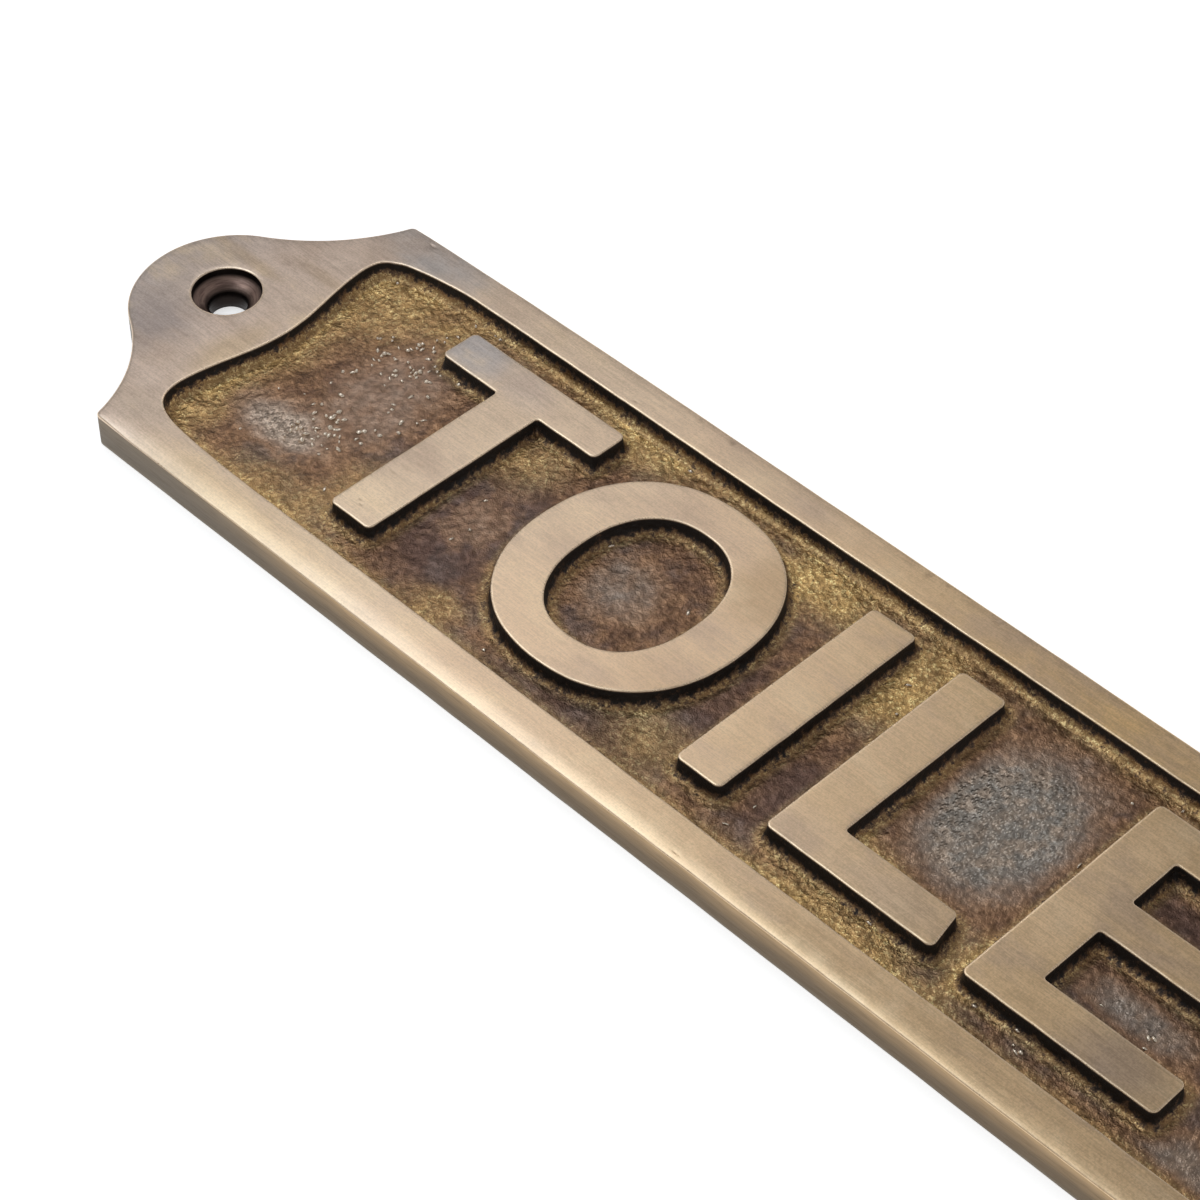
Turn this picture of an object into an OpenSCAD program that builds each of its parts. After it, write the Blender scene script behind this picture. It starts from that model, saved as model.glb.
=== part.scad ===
// Restroom door sign: one flat sand casting with a raised border and the raised word TOILET,
// standing out of a recess, and a countersunk screw hole in the ear at each end.
// Lengths are in mm. The sign lies on its back: +X is the reading direction, +Y points to the
// letters' tops, +Z comes out of the face, and the origin is the middle of the back face.

/* [Plate] */
// Distance between the centres of the two screw holes
hole_pitch = 200; // [160:1:260]
// Width of the plate from its lower long edge to its upper one
plate_w = 47.5; // [38:0.5:60]
// Thickness of the casting at its border and at its letters
thick = 4.4; // [3:0.1:6]
// Distance from a screw hole's centre inwards to the plate's corners beside it
corner_in = 6.2; // [3:0.1:9]
// Rounding of those corners, seen from the front
corner_r = 0.6; // [0.3:0.1:1.5]

/* [Ears] */
// Radius of an ear's round end
ear_tip_r = 11.8; // [9:0.1:15]
// Distance an ear reaches out past its screw hole's centre
ear_reach = 10.3; // [8:0.1:14]
// Radius of the hollow curve between a corner and the round end
ear_hollow_r = 24.6; // [15:0.1:60]

/* [Edges] */
// Width of the rounding filed along the front edge
front_break = 0.5; // [0.2:0.05:1]
// Width of the rounding along the back edge
back_break = 0.3; // [0.1:0.05:0.6]

/* [Recess] */
// Depth of the recess behind the letters' tops
recess_depth = 2; // [1:0.1:3]
// Width of the raised border along the long edges
border = 4.6; // [3:0.1:8]
// Distance from a screw hole's centre to the recess, measured at the recess's corners
recess_from_hole = 8.3; // [6.5:0.1:14]
// How much further from the hole the recess begins at the plate's middle
end_bulge = 2.1; // [0.8:0.1:4]
// Radius of the recess's corners
recess_corner_r = 4.4; // [2:0.1:6]
// Lean of the cast walls, which lets the pattern leave the sand
draft_deg = 5.5; // [2:0.5:10]

/* [Screw holes] */
// Diameter of the drilled hole
bore_d = 4.5; // [3:0.1:6]
// Diameter of the countersink at the face
sink_d = 8.1; // [6:0.1:10]
// Depth of the upright wall above the countersink's cone
sink_wall = 0.95; // [0.3:0.05:1.5]
// Full angle of the countersink's cone
sink_angle = 118; // [82:1:130]

/* [Word] */
// Least space between the letters and the border below them
room_below = 4.9; // [2:0.1:8]
// Least space between the letters and the border above them
room_above = 3.9; // [2:0.1:8]
// Least space between the word and the recess's bulged ends
room_beside = 14.5; // [4:0.5:30]
// Width of an upright stroke
stem_w = 6.1; // [3:0.1:7.5]
// Width of a level stroke
arm_w = 4.95; // [3:0.05:6]
// Rounding of the letters' corners, seen from the front
letter_r = 0.6; // [0.2:0.1:1.2]

/* [Letter shapes, as shares of the letters' height] */
// Width of the T
wide_t = 0.817; // [0.6:0.001:1]
// Width of the O
wide_o = 0.995; // [0.9:0.001:1.02]
// Width of the L
wide_l = 0.72; // [0.5:0.001:1]
// Width of the E
wide_e = 0.786; // [0.5:0.001:1]
// Space between the first T and the O
gap_to = 0.075; // [0.05:0.001:0.3]
// Space between the O and the I
gap_oi = 0.166; // [0.05:0.001:0.3]
// Space between the I and the L
gap_il = 0.214; // [0.05:0.001:0.3]
// Space between the L and the E
gap_le = 0.144; // [0.05:0.001:0.3]
// Space between the E and the last T
gap_et = 0.13; // [0.05:0.001:0.3]
// Height of the lower edge of the E's middle arm
mid_arm_up = 0.448; // [0.35:0.001:0.5]
// Length of the E's middle arm
mid_arm_long = 0.708; // [0.4:0.001:0.78]

/* [Hidden] */
$fn = 96;
// How far a cutting shape runs past what it cuts
over = 1;
// How far the letters' feet run into the recess's floor
root = 0.5;
// A rounding's arc is flatter than a quarter circle by this share of its width, so it crosses
// both faces at a slight angle, as a filed edge does
shy_share = 0.2;
// How far two arcs that run into each other overlap, so that they cross at a slight angle
kiss = 0.02;
// The straight part of the recess's end between a corner and the curve beside it
end_flat = 0.5;
// How far the edge rounding along a hollow turns on past each of its ends, in degrees
past_end = 3;

hole_x = hole_pitch / 2;
half_w = plate_w / 2;
floor_z = thick - recess_depth;
lean = tan(draft_deg);

// One ear, at the right-hand end: the round end's centre, the hollow's centre, and the angles
// at which the two arcs meet and at which the hollow reaches the corner.
corner = [hole_x - corner_in, half_w];
tip_c = [hole_x + ear_reach - ear_tip_r, 0];
hollow_c = meeting(tip_c, ear_hollow_r + ear_tip_r - kiss, corner, ear_hollow_r);
tip_angle = atan2(hollow_c[1] - tip_c[1], hollow_c[0] - tip_c[0]);
corner_angle = 180 + asin((hollow_c[1] - half_w) / ear_hollow_r);
corner_disc_y = half_w - corner_r;
corner_disc_x = hollow_c[0] - sqrt(pow(ear_hollow_r + corner_r, 2) - pow(hollow_c[1] - corner_disc_y, 2));

// The recess's end: the middle arc bulges into the recess, and each flank arc curves back to
// the corner. They have one radius and meet smoothly.
recess_x = hole_x - recess_from_hole;
recess_y = half_w - border;
flank_y = recess_y - recess_corner_r - end_flat;
end_r = (flank_y * flank_y + pow(end_bulge + kiss, 2) - kiss * kiss) / (4 * end_bulge);
bulge_c = [recess_x - end_bulge + end_r, 0];
flank_c = [recess_x - end_r + kiss, flank_y];

// The countersink's cone runs from its upright wall down to the drilled hole.
bore_r = bore_d / 2;
sink_r = sink_d / 2;
sink_z = thick - sink_wall;
cone_z = sink_z - (sink_r - bore_r) / tan(sink_angle / 2);

// The letters are as tall as the space above, below and beside the word allows.
word_share = 2 * wide_t + wide_o + wide_l + wide_e + gap_to + gap_oi + gap_il + gap_le + gap_et;
word_room = 2 * (recess_x - end_bulge - room_beside);
letter_h = min(2 * recess_y - room_below - room_above, (word_room - stem_w) / word_share);
word_w = word_share * letter_h + stem_w;
word_mid_y = (room_below - room_above) / 2;
o_x = (wide_t + gap_to) * letter_h;
i_x = o_x + (wide_o + gap_oi) * letter_h;
l_x = i_x + stem_w + gap_il * letter_h;
e_x = l_x + (wide_l + gap_le) * letter_h;
t_x = e_x + (wide_e + gap_et) * letter_h;

// The O's outside is a circle with flatter sides. Its hole has two round ends, a straight stretch
// between them, and flatter sides too.
// How far the O stands out above and below the other letters, as a share of their height
o_taller = 0.017;
// Radius of the O's flatter sides, as a share of the letters' height
o_side_round = 0.685;
// Width of the O's stroke at its sides, as a share of an upright stroke's width
o_stroke = 1.025;
// Radius of the hole's round ends, and of its flatter sides, as shares of half its width
hole_end_round = 1.035;
hole_side_round = 1.79;
// How far the straight stretch reaches into each round end, as a share of the end's radius
hole_reach = 0.1;

o_r = (0.5 + o_taller) * letter_h;
o_half = wide_o * letter_h / 2;
o_side_r = o_side_round * letter_h;
hole_half = o_half - o_stroke * stem_w;
hole_high = o_r - arm_w;
hole_wide = hole_end_round * hole_half;
hole_r = min(hole_wide, hole_high);
hole_end = max(hole_wide, hole_high) - hole_r;
hole_turn = hole_wide > hole_high ? 90 : 0;
hole_mid = (1 + 1 / hole_end_round) / 2 * hole_r;
hole_side_r = hole_side_round * hole_half;

// The outward meeting point of two circles, given by centre and radius.
function meeting(a, ra, b, rb) =
    let(
        d = norm(b - a),
        u = (b - a) / d,
        along = (d * d + ra * ra - rb * rb) / (2 * d),
        aside = sqrt(ra * ra - along * along)
    )
    a + along * u + aside * [u[1], -u[0]];

module both_ends() {
    children();
    mirror([1, 0, 0]) children();
}

module both_sides() {
    children();
    mirror([0, 1, 0]) children();
}

// What the corner's rounding removes, at the right-hand end's upper corner.
module corner_waste() {
    disc_c = [corner_disc_x, corner_disc_y];
    past_arc = disc_c + (hollow_c - disc_c) * (corner_r + over) / (ear_hollow_r + corner_r);
    difference() {
        polygon([disc_c, past_arc, corner + [over, over], [disc_c[0], half_w + over]]);
        translate(disc_c) circle(r = corner_r * norm([1, shy_share]));
    }
}

// The plate's outline: a plate that narrows to the ears' round ends, cut by the hollows.
module blank() {
    difference() {
        union() {
            linear_extrude(thick) polygon([
                [hollow_c[0], half_w], hollow_c, tip_c, [hollow_c[0], -hollow_c[1]], [hollow_c[0], -half_w],
                [-hollow_c[0], -half_w], -hollow_c, -tip_c, [-hollow_c[0], hollow_c[1]], [-hollow_c[0], half_w]
            ]);
            both_ends() translate(tip_c) cylinder(h = thick, r = ear_tip_r);
        }
        both_ends() both_sides() {
            translate([hollow_c[0], hollow_c[1], -over]) cylinder(h = thick + 2 * over, r = ear_hollow_r);
            translate([0, 0, -over]) linear_extrude(thick + 2 * over) corner_waste();
        }
    }
}

// The section that rounds an upper edge. The metal lies at x < 0 and y < 0 from the sharp edge.
module edge_waste(size) {
    shy = size * shy_share;
    side = size + shy / 2;
    difference() {
        translate([-side, -side]) square(side + over);
        translate([-size - shy, -size - shy]) circle(r = norm([size + shy, shy]));
    }
}

// Rounds the edge all round the outline, at height z = 0.
module edge_round(size) {
    both_sides() translate([-corner[0] - over, half_w, 0])
        rotate([90, 0, 90]) linear_extrude(2 * (corner[0] + over)) edge_waste(size);
    both_ends() translate(tip_c)
        rotate([0, 0, -tip_angle]) rotate_extrude(angle = 2 * tip_angle)
            translate([ear_tip_r, 0]) edge_waste(size);
    both_ends() both_sides() translate(hollow_c)
        rotate([0, 0, corner_angle - past_end])
            rotate_extrude(angle = 180 + tip_angle - corner_angle + 2 * past_end)
                translate([ear_hollow_r, 0]) mirror([1, 0]) edge_waste(size);
}

// A bar along Y whose two long walls lean outwards by grow over its height.
module leaning_bar(wide, long, h, grow) {
    rotate([90, 0, 0]) linear_extrude(2 * long, center = true)
        polygon([[-wide, 0], [wide, 0], [wide + grow, h], [-wide - grow, h]]);
}

// What rounds an upright corner. The metal lies at x < 0 and y < 0 from the sharp corner.
module corner_cut(r, h, grow) {
    shy = r * shy_share;
    side = r + shy / 2;
    full_r = norm([r + shy, shy]);
    steep = grow / h;
    difference() {
        translate([-side, -side, -over]) cube([side + over, side + over, h + 2 * over]);
        translate([-r - shy, -r - shy, -over])
            cylinder(h = h + 2 * over, r1 = full_r - steep * over, r2 = full_r + steep * (h + over));
    }
}

// A block between two corners of its underside, whose four walls lean outwards by grow over its
// height.
module leaning_block(low, high, h, grow) {
    mid = (low + high) / 2;
    half = (high - low) / 2;
    translate([mid[0], mid[1], 0]) intersection() {
        leaning_bar(half[0], half[1] + over, h, grow);
        rotate([0, 0, 90]) leaning_bar(half[1], half[0] + over, h, grow);
    }
}

// The same with rounded upright corners.
module rounded_block(low, high, r, h, grow) {
    mid = (low + high) / 2;
    half = (high - low) / 2;
    difference() {
        leaning_block(low, high, h, grow);
        translate([mid[0], mid[1], 0]) both_ends() both_sides()
            translate([half[0], half[1], 0]) corner_cut(r, h, grow);
    }
}

// The land that bulges into the recess at its right-hand end, wider at its foot.
module end_land(h) {
    foot = (h - over) * lean;
    difference() {
        union() {
            linear_extrude(h) polygon([
                bulge_c, flank_c, [bulge_c[0], flank_c[1]], [bulge_c[0], -flank_c[1]], [flank_c[0], -flank_c[1]]
            ]);
            translate(bulge_c) cylinder(h = h, r1 = end_r + foot, r2 = end_r + foot - h * lean);
        }
        both_sides() translate([flank_c[0], flank_c[1], -over])
            cylinder(h = h + 2 * over, r1 = end_r - foot - over * lean, r2 = end_r - foot + (h + over) * lean);
    }
}

// The hollow of the recess, which widens towards the face and passes through it.
module recess() {
    h = recess_depth + over;
    foot = recess_depth * lean;
    far = [recess_x - foot, recess_y - foot];
    translate([0, 0, floor_z]) difference() {
        rounded_block(-far, far, recess_corner_r - foot, h, h * lean);
        both_ends() end_land(h);
    }
}

// The block that a letter is cut from. Its foot is wider and runs into the recess's floor.
module letter_block(wide) {
    h = recess_depth + root;
    foot = h * lean;
    translate([0, 0, floor_z - root])
        leaning_block([-foot, -foot], [wide + foot, letter_h + foot], h, -foot);
}

// The open space between two corners at the letters' tops, narrower at its foot.
module well(low, high) {
    h = recess_depth + root;
    foot = h * lean;
    translate([0, 0, floor_z - root])
        rounded_block(low + [foot, foot], high - [foot, foot], letter_r, h + over, (h + over) * lean);
}

// Rounds the upright corners at these points of a letter's top. Each point is followed by the
// side of the corner that is open, such as [1, -1] for its lower right.
module round_corners(points) {
    h = recess_depth + root;
    foot = h * lean;
    for (p = points)
        translate([p[0], p[1], floor_z - root])
            mirror([p[2] < 0 ? 1 : 0, 0, 0]) mirror([0, p[3] < 0 ? 1 : 0, 0])
                translate([foot, foot, 0]) corner_cut(letter_r + foot, h, -foot);
}

// A round post of radius r at its top, whose foot is wider by the walls' lean.
module round_post(r) {
    h = recess_depth + root;
    translate([0, 0, floor_z - root]) cylinder(h = h, r1 = r + h * lean, r2 = r);
}

// The hollow beside such posts: radius r at the letters' tops, narrower at its foot.
module round_well(r) {
    h = recess_depth + root;
    translate([0, 0, floor_z - root])
        cylinder(h = h + over, r1 = r - h * lean, r2 = r + over * lean);
}

module letter_t() {
    wide = wide_t * letter_h;
    left = (wide - stem_w) / 2;
    right = left + stem_w;
    bar_y = letter_h - arm_w;
    difference() {
        letter_block(wide);
        well([-2 * over, -2 * over], [left, bar_y]);
        well([right, -2 * over], [wide + 2 * over, bar_y]);
        round_corners([
            [0, bar_y, -1, -1], [0, letter_h, -1, 1], [wide, letter_h, 1, 1],
            [wide, bar_y, 1, -1], [left, 0, -1, -1], [right, 0, 1, -1]
        ]);
    }
}

// The straight stretch between the round ends of the O's hole.
module round_well_middle() {
    h = recess_depth + root;
    translate([0, 0, floor_z - root])
        leaning_bar(hole_mid - h * lean, hole_end + hole_reach * hole_r, h + over, (h + over) * lean);
}

module letter_o() {
    translate([o_half, letter_h / 2, 0]) difference() {
        intersection() {
            round_post(o_r);
            translate([o_half - o_side_r, 0, 0]) round_post(o_side_r);
            translate([o_side_r - o_half, 0, 0]) round_post(o_side_r);
        }
        intersection() {
            rotate([0, 0, hole_turn]) {
                both_sides() translate([0, hole_end, 0]) round_well(hole_r);
                round_well_middle();
            }
            translate([hole_half - hole_side_r, 0, 0]) round_well(hole_side_r);
            translate([hole_side_r - hole_half, 0, 0]) round_well(hole_side_r);
        }
    }
}

module letter_i() {
    difference() {
        letter_block(stem_w);
        round_corners([[0, 0, -1, -1], [0, letter_h, -1, 1], [stem_w, letter_h, 1, 1], [stem_w, 0, 1, -1]]);
    }
}

module letter_l() {
    wide = wide_l * letter_h;
    difference() {
        letter_block(wide);
        well([stem_w, arm_w], [wide + 2 * over, letter_h + 2 * over]);
        round_corners([
            [0, 0, -1, -1], [0, letter_h, -1, 1], [stem_w, letter_h, 1, 1], [wide, arm_w, 1, 1],
            [wide, 0, 1, -1]
        ]);
    }
}

module letter_e() {
    wide = wide_e * letter_h;
    bar_y = letter_h - arm_w;
    mid_y = mid_arm_up * letter_h;
    mid_top = mid_y + arm_w;
    mid_x = mid_arm_long * letter_h;
    difference() {
        letter_block(wide);
        well([stem_w, arm_w], [wide + 2 * over, mid_y]);
        well([stem_w, mid_top], [wide + 2 * over, bar_y]);
        well([mid_x, (arm_w + mid_y) / 2], [wide + 2 * over, (mid_top + bar_y) / 2]);
        round_corners([
            [0, 0, -1, -1], [0, letter_h, -1, 1], [wide, letter_h, 1, 1], [wide, bar_y, 1, -1],
            [mid_x, mid_top, 1, 1], [mid_x, mid_y, 1, -1], [wide, arm_w, 1, 1], [wide, 0, 1, -1]
        ]);
    }
}

module word() {
    translate([-word_w / 2, word_mid_y - letter_h / 2, 0]) {
        letter_t();
        translate([o_x, 0, 0]) letter_o();
        translate([i_x, 0, 0]) letter_i();
        translate([l_x, 0, 0]) letter_l();
        translate([e_x, 0, 0]) letter_e();
        translate([t_x, 0, 0]) letter_t();
    }
}

module screw_hole() {
    rotate_extrude() polygon([
        [0, -over], [bore_r, -over], [bore_r, cone_z], [sink_r, sink_z], [sink_r, thick + over], [0, thick + over]
    ]);
}

module sign_plate() {
    color([0.71, 0.58, 0.4]) {
        difference() {
            blank();
            translate([0, 0, thick]) edge_round(front_break);
            mirror([0, 0, 1]) edge_round(back_break);
            recess();
            both_ends() translate([hole_x, 0, 0]) screw_hole();
        }
        word();
    }
}

sign_plate();
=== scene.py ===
"""A restroom door sign, sand cast in brass, with a dressed border and dressed raised letters.

The CAD node gives the sign's place and true sizes. This script builds the same casting again with
the foundry's surface: rounded and worn edges, the small slips of the hand that filed the outline,
the rough sand-cast floor of the recess, and the dark patina that the polishing left in the corners.
Its colours also paint light and shade: highlights along the polished edges, glints on the gold, the
grit and the grey patches' crests, and shade at the feet of the walls and in the sand's hollows.
Plan sizes are in millimetres until the mesh is made, and in metres from there on.
"""
import logging
import math
from dataclasses import dataclass, field
from enum import Enum
from typing import Callable, Sequence

import bmesh
import bpy
import numpy as np
from mathutils import Matrix, Vector
from mathutils.geometry import delaunay_2d_cdt
from mathutils.kdtree import KDTree


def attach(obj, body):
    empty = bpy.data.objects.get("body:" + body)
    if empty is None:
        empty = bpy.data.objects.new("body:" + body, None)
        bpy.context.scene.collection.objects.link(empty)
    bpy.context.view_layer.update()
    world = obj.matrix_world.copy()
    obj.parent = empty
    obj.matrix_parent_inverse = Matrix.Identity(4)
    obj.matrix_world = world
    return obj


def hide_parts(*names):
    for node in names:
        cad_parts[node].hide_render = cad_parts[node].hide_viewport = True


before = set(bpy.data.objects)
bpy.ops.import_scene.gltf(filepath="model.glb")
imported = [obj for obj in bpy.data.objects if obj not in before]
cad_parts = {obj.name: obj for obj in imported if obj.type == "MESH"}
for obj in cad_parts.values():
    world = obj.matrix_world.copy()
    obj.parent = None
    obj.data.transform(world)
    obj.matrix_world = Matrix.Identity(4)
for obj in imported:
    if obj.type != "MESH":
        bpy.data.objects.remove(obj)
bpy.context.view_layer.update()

LOG = logging.getLogger("door_sign")
MM = 0.001
CAD_NODE = "sign_plate"
BODY = "root"
FULL_TURN = 2 * math.pi
TINY = 1e-9  # mm: shorter than any real distance
FAR_OFF = 1000.0  # mm: further than anything on the sign
Colour = tuple[float, float, float]
Layers = dict[str, float | np.ndarray]
Rise = Callable[[np.ndarray], tuple[np.ndarray, Layers]]


class Finish(Enum):
    """The finishes that the faces of the casting wear."""

    DRESSED = 0
    CAST = 1
    FILED = 2
    DRILLED = 3


Finishes = dict[Finish, bpy.types.Material]


def link(made: bpy.types.Object) -> bpy.types.Object:
    """Puts a new object into the scene and gives it back."""
    bpy.context.scene.collection.objects.link(made)
    return made


# ---------------- plan curves


def arc(centre: Sequence[float], radius: float, start: float, stop: float, count: int) -> np.ndarray:
    """Points along an arc.

    Args:
        centre: The arc's centre in mm.
        radius: Its radius in mm.
        start: Angle of its first point, in radians.
        stop: Angle of its last point, in radians.
        count: How many points it gets, both ends included.

    Returns:
        An array of count rows of x and y.
    """
    angles = np.linspace(start, stop, count)
    return np.stack([centre[0] + radius * np.cos(angles), centre[1] + radius * np.sin(angles)], 1)


def angle_of(point: np.ndarray, centre: np.ndarray) -> float:
    """The angle in radians at which a point is seen from a centre."""
    return math.atan2(point[1] - centre[1], point[0] - centre[0])


def shortest(start: float, stop: float) -> tuple[float, float]:
    """Two angles, of which the second is turned back or on until it is nearest to the first."""
    return start, start + (stop - start + math.pi) % FULL_TURN - math.pi


def unit(way: np.ndarray) -> np.ndarray:
    """A direction of length 1."""
    return way / np.hypot(*way)


def meeting(a: np.ndarray, ra: float, b: np.ndarray, rb: float, side: int) -> np.ndarray:
    """One of the two points where two circles meet.

    Args:
        a: The first circle's centre.
        ra: Its radius.
        b: The second circle's centre.
        rb: Its radius.
        side: 1 for the point to the left of the line from a to b, -1 for the other.

    Returns:
        The point's x and y.
    """
    gap = b - a
    d = float(np.hypot(*gap))
    u = gap / d
    along = (d * d + ra * ra - rb * rb) / (2 * d)
    aside = math.sqrt(ra * ra - along * along)
    return a + along * u + side * aside * np.array([-u[1], u[0]])


def resample(points: np.ndarray, spacing: float, closed: bool = True) -> np.ndarray:
    """Spreads points evenly along a line.

    Args:
        points: The line's points in order.
        spacing: The wanted distance between points, in mm.
        closed: Whether the last point runs on to the first.

    Returns:
        The new points. A closed line's first point isn't repeated at its end.
    """
    line = np.vstack([points, points[:1]]) if closed else points
    steps = np.hypot(*np.diff(line, axis=0).T)
    line = line[np.concatenate([[True], steps > TINY])]
    along = np.concatenate([[0.0], np.cumsum(steps[steps > TINY])])
    count = max(8, int(round(along[-1] / spacing)))
    at = np.linspace(0.0, along[-1], count + 1)
    if closed:
        at = at[:-1]
    return np.stack([np.interp(at, along, line[:, 0]), np.interp(at, along, line[:, 1])], 1)


def smooth_through(points: np.ndarray, per_span: int) -> np.ndarray:
    """A smooth open curve through points.

    Args:
        points: The points that the curve passes through.
        per_span: How many points each span between two of them gets.

    Returns:
        The points of a centripetal curve, both ends included.
    """
    padded = np.vstack([2 * points[0] - points[1], points, 2 * points[-1] - points[-2]])
    out = []
    for p0, p1, p2, p3 in zip(padded[:-3], padded[1:-2], padded[2:-1], padded[3:]):
        knots = [0.0]
        for a, b in ((p0, p1), (p1, p2), (p2, p3)):
            knots.append(knots[-1] + max(float(np.hypot(*(b - a))), TINY) ** 0.5)
        t0, t1, t2, t3 = knots
        t = np.linspace(t1, t2, per_span, endpoint=False)[:, None]
        a1 = (t1 - t) / (t1 - t0) * p0 + (t - t0) / (t1 - t0) * p1
        a2 = (t2 - t) / (t2 - t1) * p1 + (t - t1) / (t2 - t1) * p2
        a3 = (t3 - t) / (t3 - t2) * p2 + (t - t2) / (t3 - t2) * p3
        b1 = (t2 - t) / (t2 - t0) * a1 + (t - t0) / (t2 - t0) * a2
        b2 = (t3 - t) / (t3 - t1) * a2 + (t - t1) / (t3 - t1) * a3
        out.append((t2 - t) / (t2 - t1) * b1 + (t - t1) / (t2 - t1) * b2)
    out.append(points[-1:])
    return np.vstack(out)


def outward_normals(loop: np.ndarray) -> np.ndarray:
    """The outward unit normals at the points of a closed loop.

    Args:
        loop: Its points, which run anticlockwise.

    Returns:
        A unit vector for each point.
    """
    ahead = np.roll(loop, -1, 0) - loop
    ahead /= np.maximum(np.hypot(*ahead.T), TINY)[:, None]
    run = ahead + np.roll(ahead, 1, 0)
    run /= np.maximum(np.hypot(*run.T), TINY)[:, None]
    return np.stack([run[:, 1], -run[:, 0]], 1)


def inside(points: np.ndarray, loop: np.ndarray) -> np.ndarray:
    """Which points lie inside a closed loop.

    Args:
        points: The points to test, one row each.
        loop: The loop's points in order.

    Returns:
        An array of booleans, one for each point.
    """
    hit = np.zeros(len(points), bool)
    x, y = points[:, 0], points[:, 1]
    for (ax, ay), (bx, by) in zip(loop, np.roll(loop, -1, 0)):
        if ay == by:
            continue
        crosses = (ay > y) != (by > y)
        hit ^= crosses & (x < (bx - ax) * (y - ay) / (by - ay) + ax)
    return hit


def within(points: np.ndarray, loops: Sequence[np.ndarray]) -> np.ndarray:
    """Which points lie in an area with holes.

    Args:
        points: The points to test, one row each.
        loops: The area's outer loop first, and then its holes.

    Returns:
        An array of booleans, one for each point.
    """
    keep = inside(points, loops[0])
    for hole in loops[1:]:
        keep &= ~inside(points, hole)
    return keep


class Nearest:
    """Finds the nearest of some points of the plan."""

    def __init__(self, points: np.ndarray) -> None:
        """Keeps the points in a tree.

        Args:
            points: Rows of x and y.
        """
        self.tree = KDTree(len(points))
        for i, (x, y) in enumerate(points):
            self.tree.insert((x, y, 0.0), i)
        self.tree.balance()

    def which(self, plan: np.ndarray) -> np.ndarray:
        """The number of the point that is nearest to each point of the plan."""
        return np.array([self.tree.find((x, y, 0.0))[1] for x, y in plan], int)

    def away(self, plan: np.ndarray) -> np.ndarray:
        """How far each point of the plan is from the nearest point."""
        return np.array([self.tree.find((x, y, 0.0))[2] for x, y in plan])


@dataclass(frozen=True)
class Fade:
    """How something fades with the distance from an edge."""

    peak: float  # its strength before it fades
    start: float  # the distance in mm at which it starts to
    reach: float  # the distance in mm over which it does
    power: float  # how abruptly it ends

    def about(self, away: np.ndarray) -> np.ndarray:
        """Its strength at each distance, where it fades to both sides of its start."""
        return self.peak * np.exp(-((np.abs(away - self.start) / self.reach) ** self.power))

    def beyond(self, away: np.ndarray) -> np.ndarray:
        """Its strength at each distance, where it stays at its peak up to its start."""
        return self.about(np.maximum(away, self.start))


@dataclass(frozen=True)
class Spot:
    """A soft oval spot on the sign."""

    x: float  # its middle in mm
    y: float  # its middle in mm
    long: float  # its half length along X in mm
    wide: float  # its half width along Y in mm
    strength: float = 1.0  # how strong it is, 0 to 1

    def away(self, plan: np.ndarray) -> np.ndarray:
        """The square of each point's distance from the middle, as a share of the spot's size."""
        return ((plan[:, 0] - self.x) / self.long) ** 2 + ((plan[:, 1] - self.y) / self.wide) ** 2


@dataclass(frozen=True)
class HandWobble:
    """The slips of the hand that cut the pattern and filed the casting."""

    reach: float  # the largest slip in mm
    seed: int  # seed of the waves
    wavelengths: tuple[float, ...] = (2.6, 5.0, 9.0, 17.0)  # the lengths in mm of the waves that add up to the slip
    longest: float = 17.0  # the length in mm of a wave that has its full height
    waves: int = 3  # how many waves each length gets

    def at(self, points: np.ndarray) -> np.ndarray:
        """The hand's slip.

        Args:
            points: The points of the plan, one row each.

        Returns:
            The slip in x and y at each point, in mm.
        """
        rng = np.random.default_rng(self.seed)
        slip = np.zeros_like(points)
        for length in self.wavelengths:
            for axis in (0, 1):
                for _ in range(self.waves):
                    turn, phase = rng.uniform(0, FULL_TURN, 2)
                    wave = FULL_TURN / length * (points @ np.array([math.cos(turn), math.sin(turn)]))
                    slip[:, axis] += np.sin(wave + phase) * (length / self.longest) ** 0.5 / (2 * self.waves)
        return slip * self.reach


class Loop:
    """A closed edge seen in plan, whose copies at other offsets keep one point for each of its own."""

    def __init__(self, wobble: HandWobble | None = None) -> None:
        """Keeps the hand's wobble, which every copy of the loop shares."""
        self.wobble = wobble

    def plain(self, grow: float) -> np.ndarray:
        """The loop grown outwards by grow mm, before the hand's wobble."""
        raise NotImplementedError

    def ring(self, grow: float) -> np.ndarray:
        """The loop grown outwards by grow mm, with the hand's wobble."""
        points = self.plain(grow)
        return points if self.wobble is None else points + self.wobble.at(self.plain(0.0))


class CurveLoop(Loop):
    """A closed edge given by its points, which run anticlockwise."""

    def __init__(self, points: np.ndarray, wobble: HandWobble | None = None) -> None:
        """Keeps the points and their outward normals.

        Args:
            points: The edge's points.
            wobble: The hand's slips.
        """
        super().__init__(wobble)
        self.points = points
        self.normals = outward_normals(points)

    def plain(self, grow: float | np.ndarray) -> np.ndarray:
        """The points moved outwards along their normals, all alike or each by its own number."""
        return self.points + self.normals * np.reshape(grow, (-1, 1))


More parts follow.
